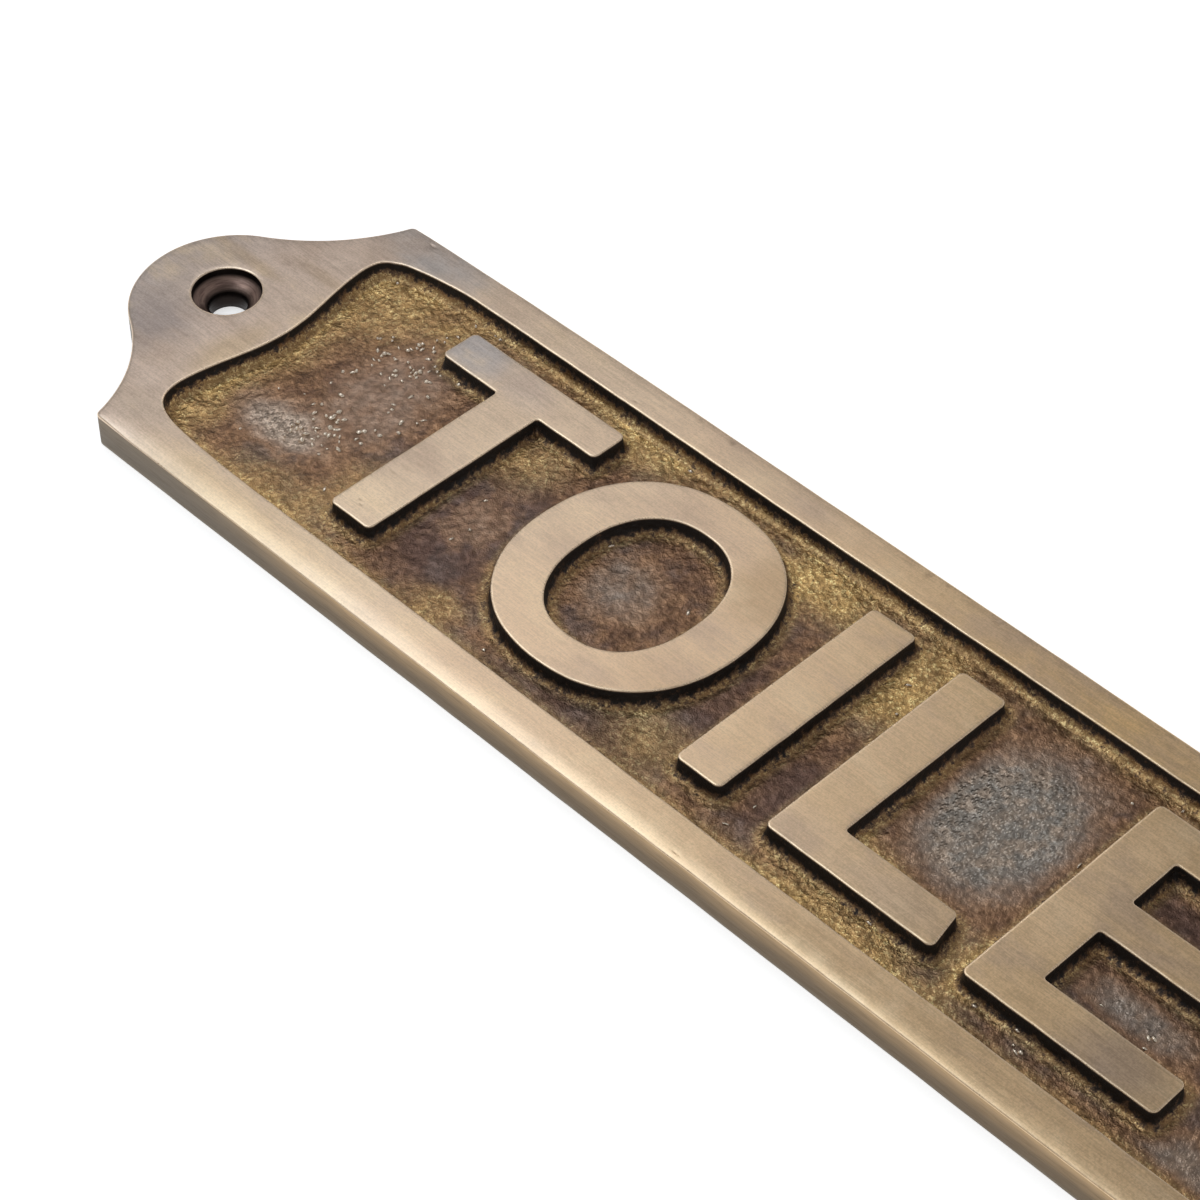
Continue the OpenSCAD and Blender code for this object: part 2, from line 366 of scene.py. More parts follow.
class CornerLoop(Loop):
    """A closed polygon with rounded corners, which run anticlockwise.

    Growing it adds to the radius of an outer corner and takes from the radius of an inner one.
    """

    LEAST_RADIUS = 0.1
    ARC_POINTS = 7

    def __init__(self, corners: Sequence[tuple[float, float, float]], spacing: float,
                 wobble: HandWobble | None = None) -> None:
        """Keeps the corners and settles how many points each edge gets.

        Args:
            corners: The x, y and radius of each corner in mm.
            spacing: The distance between points along the edges, in mm.
            wobble: The hand's slips.
        """
        super().__init__(wobble)
        table = np.array(corners, float)
        self.corners, self.radii = table[:, :2], table[:, 2]
        self.run = np.roll(self.corners, -1, 0) - self.corners
        lengths = np.hypot(*self.run.T)
        self.run /= lengths[:, None]
        self.out = np.stack([self.run[:, 1], -self.run[:, 0]], 1)
        self.between = [max(1, int(n / spacing)) for n in lengths]

    def plain(self, grow: float) -> np.ndarray:
        """The rounded polygon with its edges moved outwards.

        Args:
            grow: How far, in mm.

        Returns:
            Its points.
        """
        n = len(self.corners)
        starts, stops, arcs = [], [], []
        for i in range(n):
            before, after = self.run[i - 1], self.run[i]
            turn = math.atan2(before[0] * after[1] - before[1] * after[0], before @ after)
            half = abs(turn) / 2
            shift = (self.out[i - 1] + self.out[i]) / (1 + self.out[i - 1] @ self.out[i])
            point = self.corners[i] + grow * shift
            sign = 1 if turn > 0 else -1
            radius = max(self.radii[i] + sign * grow, self.LEAST_RADIUS)
            reach = radius * math.tan(half)
            centre = point - before * reach - sign * radius * self.out[i - 1]
            first = point - before * reach
            a0 = angle_of(first, centre)
            arcs.append(arc(centre, radius, a0, a0 + turn, self.ARC_POINTS))
            starts.append(first)
            stops.append(point + after * reach)
        pieces = []
        for i in range(n):
            pieces.append(arcs[i])
            share = (np.arange(1, self.between[i]) / self.between[i])[:, None]
            pieces.append(stops[i] * (1 - share) + starts[(i + 1) % n] * share)
        return np.vstack(pieces)


class OvalLoop(Loop):
    """An oval with flattened sides: the outside or the hole of the O."""

    TRIED = 2000  # points from which the evenly spread ones are picked

    def __init__(self, centre: tuple[float, float], half: tuple[float, float], power: float, spacing: float,
                 wobble: HandWobble | None = None) -> None:
        """Keeps the oval's sizes.

        Args:
            centre: Its centre in mm.
            half: Half its width and half its height in mm.
            power: 2 for an ellipse, and more for flatter sides.
            spacing: The distance between its points in mm.
            wobble: The hand's slips.
        """
        super().__init__(wobble)
        self.centre, self.half, self.power = np.array(centre), half, power
        turns = np.linspace(0, FULL_TURN, self.TRIED, endpoint=False)
        around = self._oval(turns, 0.0)
        self.turns = np.array([turns[np.argmin(np.hypot(*(around - p).T))] for p in resample(around, spacing)])

    def _oval(self, turns: np.ndarray, grow: float) -> np.ndarray:
        """Points of the oval.

        Args:
            turns: Their angles in radians.
            grow: How far the oval has grown, in mm.

        Returns:
            The points' x and y.
        """
        c, s = np.cos(turns), np.sin(turns)
        x = (self.half[0] + grow) * np.sign(c) * np.abs(c) ** (2 / self.power)
        y = (self.half[1] + grow) * np.sign(s) * np.abs(s) ** (2 / self.power)
        return self.centre + np.stack([x, y], 1)

    def plain(self, grow: float) -> np.ndarray:
        """The oval grown by grow mm."""
        return self._oval(self.turns, grow)


# ---------------- the mesh


@dataclass(frozen=True)
class Step:
    """One ring of an edge's section."""

    out: float  # distance in mm outwards from the loop, in plan
    z: float  # height in mm
    finish: Finish = Finish.DRESSED  # what the band from this ring to the next one wears
    rough: float = 0.0  # how much of the sand's grain the ring takes, 0 to 1
    rim: float = 0.0  # how much the ring is polished bright by handling and lit by a painted highlight, 0 to 1
    wall: float = 0.0  # how dark the patina and the painted shade lie on it, 0 to 1
    gold: float = 0.0  # how much olive gold shows on it, 0 to 1


class CastingMesh:
    """Gathers rings, bands and sheets that share their points into one closed mesh."""

    ROW_STEP = 0.866  # distance between a sheet's rows of points, in spacings
    SHAKE = 0.18  # how far a point may stray from its row, in spacings
    EDGE_GAP = 0.3  # how near a point may come to an edge, in spacings
    EDGE_SPACING = 0.5  # mm: the spacing of the edges' own points
    SAME = 1e-7  # mm: points nearer to each other than this are one
    LAYERS = ("rough", "rim", "wall", "gold", "steel", "stain", "bead", "grit")

    def __init__(self) -> None:
        """Starts an empty mesh."""
        self.points: list[np.ndarray] = []
        self.layers: dict[str, list[np.ndarray]] = {name: [] for name in self.LAYERS}
        self.faces: list[tuple[int, ...]] = []
        self.finishes: list[int] = []
        self.count = 0

    def add(self, points: np.ndarray, **layers: float | np.ndarray) -> np.ndarray:
        """Adds points.

        Args:
            points: Rows of x, y and z in mm.
            **layers: A number, or one number for each point, for the layers that aren't 0.

        Returns:
            The points' indices.
        """
        n = len(points)
        self.points.append(points)
        for name in self.LAYERS:
            self.layers[name].append(np.broadcast_to(np.asarray(layers.get(name, 0.0), float), (n,)).copy())
        self.count += n
        return np.arange(self.count - n, self.count)

    def ring(self, loop: Loop, step: Step, other: Step | None = None, share: np.ndarray | None = None) -> np.ndarray:
        """Adds one ring of a section.

        Args:
            loop: The edge in plan.
            step: The ring's offset, height and weights.
            other: The ring's values where share is 1.
            share: How far each point goes over to the other values.

        Returns:
            The indices of the ring's points.
        """
        mixed = {name: getattr(step, name) for name in ("out", "z", "rough", "rim", "wall", "gold")}
        if other is not None and share is not None:
            mixed = {name: value * (1 - share) + getattr(other, name) * share for name, value in mixed.items()}
        plan, z = loop.ring(mixed.pop("out")), mixed.pop("z")
        return self.add(np.column_stack([plan, np.broadcast_to(z, len(plan))]), **mixed)

    def band(self, upper: np.ndarray, lower: np.ndarray, finish: Finish) -> None:
        """Joins two rings with quads.

        Args:
            upper: The indices of the upper ring's points.
            lower: Those of the lower one's. From above, it lies outside the upper one or is under it.
            finish: What the quads wear.
        """
        ahead = np.roll(np.arange(len(upper)), -1)
        for i, j in enumerate(ahead):
            self.faces.append((int(upper[i]), int(lower[i]), int(lower[j]), int(upper[j])))
            self.finishes.append(finish.value)

    def section(self, loop: Loop, steps: Sequence[Step], inwards: bool = False,
                others: Sequence[Step] | None = None,
                share: np.ndarray | None = None) -> tuple[np.ndarray, np.ndarray]:
        """Runs a section round a loop.

        Args:
            loop: The edge in plan.
            steps: The section's rings from the top down.
            inwards: Whether the section's metal lies outside the loop, as round a recess.
            others: Another section, that the edge has where share is 1.
            share: How far each of the loop's points goes over to the other section.

        Returns:
            The indices of the first and the last ring.
        """
        pairs = zip(steps, others or [None] * len(steps))
        rings = [self.ring(loop, step, other, share) for step, other in pairs]
        for step, upper, lower in zip(steps, rings, rings[1:]):
            self.band(*((lower, upper) if inwards else (upper, lower)), step.finish)
        return rings[0], rings[-1]

    def plan_of(self, ring: np.ndarray) -> np.ndarray:
        """The x and y of these points."""
        return np.vstack(self.points)[ring][:, :2]

    def _scatter(self, plans: Sequence[np.ndarray], spacing: float, extra: np.ndarray | None,
                 seed: int) -> np.ndarray:
        """Spreads points over an area, in rows that the seed shakes a little.

        Args:
            plans: The area's outer loop first, and then its holes.
            spacing: The distance between the points, in mm.
            extra: More points, which take the place of those beside them.
            seed: Seed of the shaking.

        Returns:
            The points' x and y.
        """
        low, high = plans[0].min(0), plans[0].max(0)
        rows = np.arange(low[1] + spacing / 2, high[1], spacing * self.ROW_STEP)
        cols = np.arange(low[0] + spacing / 2, high[0], spacing)
        grid = np.stack(np.meshgrid(cols, rows), -1)
        grid[1::2, :, 0] += spacing / 2
        grid = grid.reshape(-1, 2)
        grid += np.random.default_rng(seed).uniform(-self.SHAKE, self.SHAKE, grid.shape) * spacing
        if extra is not None:
            grid = np.vstack([grid[Nearest(extra).away(grid) > spacing / 2], extra])
        grid = grid[within(grid, plans)]
        return grid[Nearest(np.vstack(plans)).away(grid) > min(spacing, self.EDGE_SPACING) * self.EDGE_GAP]

    def sheet(self, borders: Sequence[np.ndarray], spacing: float, finish: Finish, rise: Rise,
              extra: np.ndarray | None = None, flip: bool = False, seed: int = 1) -> np.ndarray:
        """Fills the area between rings with triangles.

        Args:
            borders: The outer ring first, and then the rings of the holes in it.
            spacing: The distance between the points inside, in mm.
            finish: What the faces wear.
            rise: Gives the new points' heights in mm and their layers.
            extra: More points inside, where the surface has a mark.
            flip: Whether the sheet faces down.
            seed: Seed of the points' scatter.

        Returns:
            The indices of the new points.
        """
        plans = [self.plan_of(ring) for ring in borders]
        grid = self._scatter(plans, spacing, extra, seed)
        heights, layers = rise(grid)
        fresh = self.add(np.column_stack([grid, heights]), **layers)
        index = np.concatenate([*borders, fresh])
        edges, first = [], 0
        for ring in borders:
            n = len(ring)
            edges += [(first + i, first + (i + 1) % n) for i in range(n)]
            first += n
        points = [Vector(p) for p in np.vstack([*plans, grid])]
        made, _, faces, origin, *_ = delaunay_2d_cdt(points, edges, [], 0, self.SAME)
        where = np.array([tuple(v) for v in made])
        keep = within(np.array([where[list(face)].mean(0) for face in faces]), plans)
        for wanted, face in zip(keep, faces):
            if wanted:
                ids = tuple(int(index[origin[v][0]]) for v in face)
                self.faces.append(ids[::-1] if flip else ids)
                self.finishes.append(finish.value)
        return fresh

    def build(self, name: str) -> bpy.types.Object:
        """Makes the Blender object.

        Args:
            name: The object's name.

        Returns:
            The object, in metres, with its layers as point attributes and its finish as a face one.
        """
        mesh = bpy.data.meshes.new(name)
        mesh.from_pydata((np.vstack(self.points) * MM).tolist(), [], self.faces)
        for layer, parts in self.layers.items():
            attribute = mesh.attributes.new(layer, "FLOAT", "POINT")
            attribute.data.foreach_set("value", np.concatenate(parts).astype(np.float32))
        finish = mesh.attributes.new("finish", "INT", "FACE")
        finish.data.foreach_set("value", np.array(self.finishes, np.int32))
        mesh.polygons.foreach_set("use_smooth", np.ones(len(mesh.polygons), bool))
        mesh.update()
        return link(bpy.data.objects.new(name, mesh))


# ---------------- parts of the sign


@dataclass(frozen=True)
class Mark(Spot):
    """A small pit or stain that the photographed surface shows. Its strength is how dark it is."""

    deep: float = 0.0  # its depth in mm
    SHARPNESS = 1.5  # how steeply its edge rises
    ACROSS = 7  # closer points along each axis
    REACH = 1.4  # how far from its middle they go, in half lengths

    def share(self, plan: np.ndarray) -> np.ndarray:
        """How far inside the mark each point lies, 1 in its middle and 0 outside."""
        return np.exp(-self.SHARPNESS * self.away(plan))

    def points(self) -> np.ndarray:
        """A few closer points for the mesh to show it with.

        Returns:
            Rows of x and y.
        """
        steps = np.linspace(-self.REACH, self.REACH, self.ACROSS)
        grid = np.stack(np.meshgrid(steps * self.long, steps * self.wide), -1).reshape(-1, 2)
        return grid + np.array([self.x, self.y])


MARKS = (
    Mark(-63.7, -5.1, 1.0, 0.35, 0.4, 0.006),
    Mark(-64.3, -6.6, 0.8, 0.25, 0.35, 0.006),
    Mark(-63.2, -3.8, 0.7, 0.3, 0.3, 0.004),
    Mark(-63.6, -11.9, 0.35, 0.2, 0.6, 0.02),
    Mark(-63.0, -12.4, 0.3, 0.2, 0.5, 0.02),
    Mark(-5.3, -23.2, 0.5, 0.3, 0.5, 0.12),
    Mark(-39.4, 19.35, 0.5, 0.3, 0.9, 0.06),
    Mark(-89.3, 22.2, 0.5, 0.2, 0.8, 0.08),
    Mark(-54.0, 20.1, 0.4, 0.2, 0.4, 0.02),
)


def lip(sign: int, top: float) -> list[Step]:
    """The polished upper edge of a drafted wall, which also takes a painted highlight.

    Args:
        sign: 1 where the metal lies inside the loop, -1 where it lies outside.
        top: Height of the face.

    Returns:
        Its steps from the face down.
    """
    # The rim values lay the polish and a painted highlight on the edge.
    return [
        Step(-0.26 * sign, top),
        Step(-0.1 * sign, top - 0.006, rim=0.7),
        Step(-0.03 * sign, top - 0.03, rim=0.9),
        Step(0.0, top - 0.09, Finish.CAST, rim=0.5, wall=0.85),
        Step(0.02 * sign, top - 0.25, Finish.CAST, wall=1.0),
    ]


@dataclass
class PlateEdge:
    """The casting's outline: two long edges and two ears, as the hand filed them."""

    hole_x: float = 100.0  # distance of the screw holes from the middle
    half_w: float = 23.71  # half the plate's width
    left_tip: tuple[float, float] = (-98.42, -0.62)  # centre of the left ear's round end
    left_tip_r: float = 11.8  # its radius
    left_far: tuple[float, float] = (-93.56, 23.05)  # the plate's corner beside the ear on the far side
    left_far_r: float = 27.6  # radius of the hollow between that corner and the round end
    left_near: tuple[float, float] = (-94.25, -23.72)  # the plate's corner on the near side
    left_near_r: float = 20.0  # radius of that side's hollow
    corner_in: float = 6.2  # distance of the right ear's corners from its hole
    tip_in: float = 1.5  # distance of the right ear's centre from its hole
    tip_r: float = 11.75  # radius of the right ear's round end
    hollow_r: float = 24.6  # radius of the right ear's hollows
    corner_r: float = 0.85  # rounding of the plate's corners
    spacing: float = 0.8  # distance between the outline's points
    thick: float = 4.4  # the casting's thickness
    roll_fall: float = 0.034  # how fast the top falls towards the near edge
    roll_wide: float = 2.6  # width of the strip in which it falls
    roll_run: float = 6.0  # how far from a corner the roll reaches its full depth
    roll_start: float = 0.6  # how far from a corner the roll starts
    # how far towards the near side an edge has to look for the roll to start and to be whole
    facing: tuple[float, float] = (0.55, 0.95)
    crisp: Fade = Fade(0.012, 0.42, 0.3, 1.0)  # how far the top lies below the face beside a crisp edge
    ridge_highlight: Fade = Fade(0.1, 0.62, 0.4, 1.0)  # how bright a painted highlight lies on the top beside the rolled edge, and how it fades
    crisper: float = 0.35  # by which share the roll is weaker on the right
    crisper_from: float = -30.0  # where along X it starts to get weaker
    crisper_run: float = 40.0  # in which distance it does
    corner_clear: float = 1.0  # how far the hollows stay from a corner, for its rounding
    CORNER_POINTS = 8  # points of a corner's rounding
    HOLLOW_POINTS = 40  # points of a hollow
    TIP_POINTS = 60  # points of a round end

    def _corner(self, point: np.ndarray, towards: np.ndarray, away: np.ndarray) -> np.ndarray:
        """The points that round a corner.

        Args:
            point: The corner.
            towards: The unit direction from it to the line before it.
            away: The unit direction from it to the line after it.

        Returns:
            The points' x and y.
        """
        half = math.acos(float(np.clip(towards @ away, -1, 1))) / 2
        reach = self.corner_r / math.tan(half)
        centre = point + unit(towards + away) * self.corner_r / math.sin(half)
        angles = shortest(angle_of(point + towards * reach, centre), angle_of(point + away * reach, centre))
        return arc(centre, self.corner_r, *angles, self.CORNER_POINTS)

    def _ear(self, tip: np.ndarray, tip_r: float, first: np.ndarray, first_r: float, last: np.ndarray,
             last_r: float) -> np.ndarray:
        """The points of one ear, anticlockwise.

        Args:
            tip: Centre of its round end.
            tip_r: Radius of its round end.
            first: The plate's corner at which the ear starts.
            first_r: Radius of the hollow beside that corner.
            last: The plate's corner at which the ear ends.
            last_r: Radius of the hollow beside that one.

        Returns:
            The points' x and y.
        """
        a = meeting(tip, tip_r + first_r, first, first_r, 1)
        b = meeting(tip, tip_r + last_r, last, last_r, -1)
        hollow_a = arc(a, first_r, *shortest(angle_of(first, a), angle_of(tip, a)), self.HOLLOW_POINTS)
        hollow_b = arc(b, last_r, *shortest(angle_of(tip, b), angle_of(last, b)), self.HOLLOW_POINTS)
        hollow_a = hollow_a[np.hypot(*(hollow_a - first).T) > self.corner_clear]
        hollow_b = hollow_b[np.hypot(*(hollow_b - last).T) > self.corner_clear]
        start, stop = angle_of(a, tip), angle_of(b, tip)
        round_end = arc(tip, tip_r, start, start + (stop - start) % FULL_TURN, self.TIP_POINTS)[1:-1]
        along = np.array([-math.copysign(1.0, tip[0]), 0.0])
        return np.vstack([self._corner(first, along, unit(hollow_a[0] - first)), hollow_a, round_end, hollow_b,
                          self._corner(last, unit(hollow_b[-1] - last), along)])

    def loop(self) -> CurveLoop:
        """The outline.

        Returns:
            A loop that runs anticlockwise.
        """
        corner_x = self.hole_x - self.corner_in
        right = self._ear(np.array([self.hole_x - self.tip_in, 0.0]), self.tip_r,
                          np.array([corner_x, -self.half_w]), self.hollow_r,
                          np.array([corner_x, self.half_w]), self.hollow_r)
        left = self._ear(np.array(self.left_tip), self.left_tip_r, np.array(self.left_far), self.left_far_r,
                         np.array(self.left_near), self.left_near_r)
        far = smooth_through(np.array([
            [corner_x - 2, self.half_w], [0, self.half_w], [-40, self.half_w - 0.05], [-62, self.half_w - 0.12],
            [-80, self.half_w - 0.33], [-91, self.left_far[1] + 0.1]]), 40)
        near = np.array([[self.left_near[0] + 2, self.left_near[1]], [0, -self.half_w],
                         [corner_x - 2, -self.half_w]])
        far, near = (resample(line, self.spacing, closed=False) for line in (far, near))
        return CurveLoop(np.vstack([right, far, left, near]), HandWobble(0.035, 11, (7.0, 13.0, 26.0, 40.0)))

    def near_share(self, loop: CurveLoop) -> np.ndarray:
        """How far the outline belongs to the near edge, which the polishing wheel rolled over.

        Args:
            loop: The outline.

        Returns:
            A share for each of its points.
        """
        low, high = self.facing
        turned = np.clip((-loop.normals[:, 1] - low) / (high - low), 0, 1)
        from_corner = np.clip(
            (-self.left_near[0] - self.roll_start - np.abs(loop.points[:, 0])) / self.roll_run, 0, 1)
        share = turned * from_corner
        rightwards = np.clip((loop.points[:, 0] - self.crisper_from) / self.crisper_run, 0, 1)
        return share * share * (3 - 2 * share) * (1 - self.crisper * rightwards)

    def _below(self) -> list[Step]:
        """The lower part of the outer edge, which both sections share.

        Returns:
            Its steps from the top down.
        """
        return [
            *(Step(0.0, z, Finish.FILED) for z in (self.thick - 0.8, self.thick / 2, 0.5)),
            Step(-0.01, 0.16, Finish.FILED),
            Step(-0.06, 0.04, Finish.FILED, wall=0.2),
            Step(-0.2, 0.0, Finish.CAST, wall=0.4),
        ]

    def steps(self) -> list[Step]:
        """The section of the crisp far edge and of the ears, from the face down to the back.

        Returns:
            Its steps from the top down.
        """
        t = self.thick
        # The rim values lay the polish and a painted highlight along the crisp edge.
        return [
            Step(-self.crisp.start, t - self.crisp.peak),
            Step(-0.28, t - 0.022, rim=0.05),
            Step(-0.16, t - 0.05, rim=0.3),
            Step(-0.06, t - 0.11, rim=0.6),
            Step(-0.012, t - 0.19, rim=0.6),
            Step(0.0, t - 0.32, Finish.FILED, rim=0.3),
            *self._below(),
        ]

    def fall(self, away: np.ndarray | float) -> np.ndarray:
        """How far the top lies below the face at this distance from the near edge."""
        return self.roll_fall * np.maximum(self.roll_wide - away, 0.0) ** 2.5

    def rolled_steps(self) -> list[Step]:
        """The section of the near edge, whose top rolls down softly to its ridge.

        Returns:
            Its steps from the top down.
        """
        t = self.thick
        # The rim values lay the polish and a painted highlight along the rolled ridge.
        return [
            *(Step(-away, t - self.fall(away), rim=rim)
              for away, rim in ((0.62, 0.05), (0.42, 0.1), (0.22, 0.25), (0.09, 0.4))),
            Step(-0.02, t - self.fall(0.0) - 0.012, rim=0.4),
            Step(0.0, t - self.fall(0.0) - 0.06, Finish.FILED),
            *self._below(),
        ]


@dataclass
class RecessEdge:
    """The edge of the sunk panel.

    Its long edges are straight. Its ends bulge into it, so the land beside each screw hole is
    wide, and its corners are as soft as the pattern maker's fillets.
    """

    floor_z: float = 2.4  # height of the panel's floor
    top_z: float = 4.4  # height of the face
    draft: float = 0.16  # how far the wall's foot lies inside its edge
    spacing: float = 0.55  # distance between the edge's points
    # points that the left end's curve passes through, from the near edge to the far one
    left_end: tuple[tuple[float, float], ...] = (
        (-73.5, -19.1), (-79.2, -19.0), (-82.5, -18.85), (-86.3, -18.55), (-88.2, -18.2), (-89.2, -17.9),
        (-90.15, -17.45), (-91.1, -16.6), (-91.65, -15.4), (-91.85, -13.8), (-91.65, -11.4), (-91.15, -8.6),
        (-90.5, -5.7), (-89.97, -2.85), (-89.77, 0.0), (-89.97, 2.85), (-90.5, 5.7), (-91.15, 8.6),
        (-91.65, 11.4), (-91.85, 13.8), (-91.6, 15.6), (-91.05, 16.42), (-90.1, 17.06), (-89.15, 17.58),
        (-87.25, 18.1), (-84.4, 18.6), (-80.6, 19.08), (-73.5, 19.24))

    def loop(self) -> CurveLoop:
        """The recess's edge, whose right end mirrors the left one.

        Returns:
            A loop that runs anticlockwise.
        """
        end = np.array(self.left_end)
        line = np.vstack([smooth_through(end * np.array([-1.0, 1.0]), 10), smooth_through(end[::-1], 10)])
        return CurveLoop(resample(line, self.spacing), HandWobble(0.05, 23))

    def steps(self) -> list[Step]:
        """The section of the wall, from the face down to the floor.

        Returns:
            Its steps from the top down.
        """
        t, f = self.top_z, self.floor_z
        return [
            *lip(-1, t),
            Step(-0.06, t - 0.75, Finish.CAST, rough=0.2, wall=0.92),
            Step(-self.draft + 0.02, f + 0.85, Finish.CAST, rough=0.5, wall=0.62, gold=0.3),
            Step(-self.draft - 0.14, f + 0.48, Finish.CAST, rough=0.8, wall=0.34, gold=0.6),
            Step(-self.draft - 0.42, f + 0.18, Finish.CAST, rough=1.0, wall=0.2, gold=0.7),
            Step(-self.draft - 0.85, f + 0.02, Finish.CAST, rough=1.0, wall=0.12, gold=0.6),
        ]


@dataclass
class Letter:
    """One raised letter."""

    name: str  # the letter
    outside: Loop  # its outer edge
    hole: Loop | None = None  # the edge of its hole, where it has one
    top_z: float = 4.4  # height of its top
    floor_z: float = 2.4  # height of the floor that it stands on
    draft: float = 0.16  # how far its foot lies outside its edge

    def steps(self, sign: int) -> list[Step]:
        """The section of a wall.

        Args:
            sign: 1 for the outer wall, -1 for the wall of the hole.

        Returns:
            Its steps from the top down.
        """
        t, f = self.top_z, self.floor_z
        return [
            *lip(sign, t),
            Step(0.09 * sign, t - 1.0, Finish.CAST, rough=0.2, wall=0.95),
            Step(self.draft * sign, f + 0.6, Finish.CAST, rough=0.5, wall=0.75, gold=0.2),
            Step((self.draft + 0.14) * sign, f + 0.27, Finish.CAST, rough=0.8, wall=0.45, gold=0.4),
            Step((self.draft + 0.48) * sign, f + 0.03, Finish.CAST, rough=1.0, wall=0.3, gold=0.5),
        ]


Corners = tuple[tuple[float, float, int], ...]


@dataclass
class Word:
    """The raised word, letter by letter, as it stands on the casting.

    The corners of each straight letter are its x, its y, and 1 for an outer corner or 0 for an inner one.
    """

    spacing: float = 0.55  # distance between the points of the letters' edges
    wobble: HandWobble = HandWobble(0.05, 37)  # the hand's slips along their edges
    round_out: float = 0.75  # rounding of the outer corners
    round_in: float = 0.4  # rounding of the inner corners
    t: Corners = (  # corners of the first T
        (-74.85, 10.25, 1), (-65.86, 10.22, 0), (-65.85, -14.4, 1), (-59.62, -14.35, 1), (-59.6, 10.38, 0),
        (-50.7, 10.42, 1), (-50.72, 15.33, 1), (-74.8, 15.35, 1))
    i: Corners = ((-14.15, -14.1, 1), (-8.1, -14.05, 1), (-8.12, 15.3, 1), (-14.12, 15.28, 1))  # corners of the I
    l: Corners = (  # corners of the L, whose arm ends in a slightly slanted cut
        (-1.78, -14.18, 1), (20.0, -14.15, 1), (18.95, -9.16, 1), (4.34, -9.14, 0), (4.3, 15.07, 1),
        (-1.74, 15.05, 1))
    e: Corners = (  # corners of the E
        (23.73, -14.25, 1), (46.9, -14.2, 1), (46.85, -9.3, 1), (29.7, -9.31, 0), (29.69, -1.08, 0),
        (44.3, -1.05, 1), (44.28, 3.75, 1), (29.68, 3.74, 0), (29.67, 10.51, 0), (46.85, 10.5, 1),
        (46.9, 15.45, 1), (23.7, 15.46, 1))
    # the centre, half sizes and power of the O's outside and of its hole
    o: tuple[tuple[tuple[float, float], tuple[float, float], float], ...] = (
        ((-33.77, 0.41), (14.70, 15.26), 2.21), ((-33.82, 0.28), (8.45, 10.33), 2.26))
    last_t: float = 125.48  # how far the last T stands from the first one

    def _straight(self, name: str, corners: Corners, shift: float = 0.0) -> Letter:
        """A letter with straight edges, moved along X by shift."""
        rounded = [(x + shift, y, self.round_out if outer else self.round_in) for x, y, outer in corners]
        return Letter(name, CornerLoop(rounded, self.spacing, self.wobble))

    def letters(self) -> list[Letter]:
        """The letters.

        Returns:
            All of them from left to right.
        """
        letter_o = Letter("O", *(OvalLoop(*oval, self.spacing, self.wobble) for oval in self.o))
        straight = (self._straight(name, corners) for name, corners in (("I", self.i), ("L", self.l), ("E", self.e)))
        return [self._straight("T_first", self.t), letter_o, *straight,
                self._straight("T_last", self.t, self.last_t)]


@dataclass
class ScrewHole:
    """A drilled and countersunk screw hole."""

    x: float  # the place of its axis along the plate
    bore_r: float = 2.25  # radius of the drilled hole
    sink_r: float = 4.05  # radius of the countersink
    wall: float = 0.95  # depth of the upright wall above its cone
    cone_z: float = 2.368  # height at which the cone ends
    thick: float = 4.4  # the casting's thickness
    ROUND = 96  # points round it

    def loop(self) -> CurveLoop:
        """The circle round its axis at the countersink's radius."""
        return CurveLoop(arc((self.x, 0.0), self.sink_r, 0, FULL_TURN, self.ROUND + 1)[:-1])

    def steps(self) -> list[Step]:
        """The section from the face down to the back.

        Returns:
            Its steps from the top down.
        """
        t, foot, cone, deep = self.thick, self.thick - self.wall, self.cone_z, self.bore_r - self.sink_r
        # The rim values lay the polish and a painted highlight on the hole's edge.
        return [
            Step(0.3, t, rim=0.1),
            Step(0.1, t - 0.02, rim=0.8),
            Step(0.02, t - 0.08, Finish.DRILLED, rim=0.4, wall=0.7),
            *(Step(out, z, Finish.DRILLED, wall=wall) for out, z, wall in (
                (0.0, t - 0.16, 1.0), (0.0, foot + 0.08, 1.0), (-0.06, foot - 0.03, 0.9), (-0.3, foot - 0.18, 0.45),
                (deep / 2, (foot + cone) / 2, 0.0), (deep + 0.45, cone + 0.27, 0.45), (deep + 0.1, cone + 0.06, 0.95),
                (deep, cone - 0.05, 1.0), (deep, 1.0, 1.0), (deep, 0.12, 1.0))),
            Step(deep + 0.15, 0.0, Finish.CAST, wall=0.6),
        ]


# ---------------- node helpers


class Value:
    """What a node gives: a number that more nodes can count with, or a colour, vector, shader or shape."""

    def __init__(self, wires: "Wiring", socket: bpy.types.NodeSocket) -> None:
        """Keeps the socket and the wiring that it belongs to."""
        self.wires, self.socket = wires, socket

    def __add__(self, other: "Value | float") -> "Value":
        """The sum."""
        return self.wires.math("ADD", self, other)

    def __sub__(self, other: "Value | float") -> "Value":
        """The difference."""
        return self.wires.math("SUBTRACT", self, other)

    def __mul__(self, other: "Value | float") -> "Value":
        """The product."""
        return self.wires.math("MULTIPLY", self, other)

    def around(self, middle: float, reach: float) -> "Value":
        """A noise from 0 to 1 made one around the middle, which goes as far as reach to both sides."""
        return self.wires.math("MULTIPLY_ADD", self, 2 * reach, middle - reach)

    def spread(self, low: float, high: float, to_low: float = 0.0, to_high: float = 1.0) -> "Value":
        """Its smooth passage from low and high to two other values, held at both ends."""
        feeds = {"Value": self, "From Min": low, "From Max": high, "To Min": to_low, "To Max": to_high}
        return self.wires.value("ShaderNodeMapRange", "Result", feeds, interpolation_type="SMOOTHSTEP")


Feeds = dict[str | int, object]


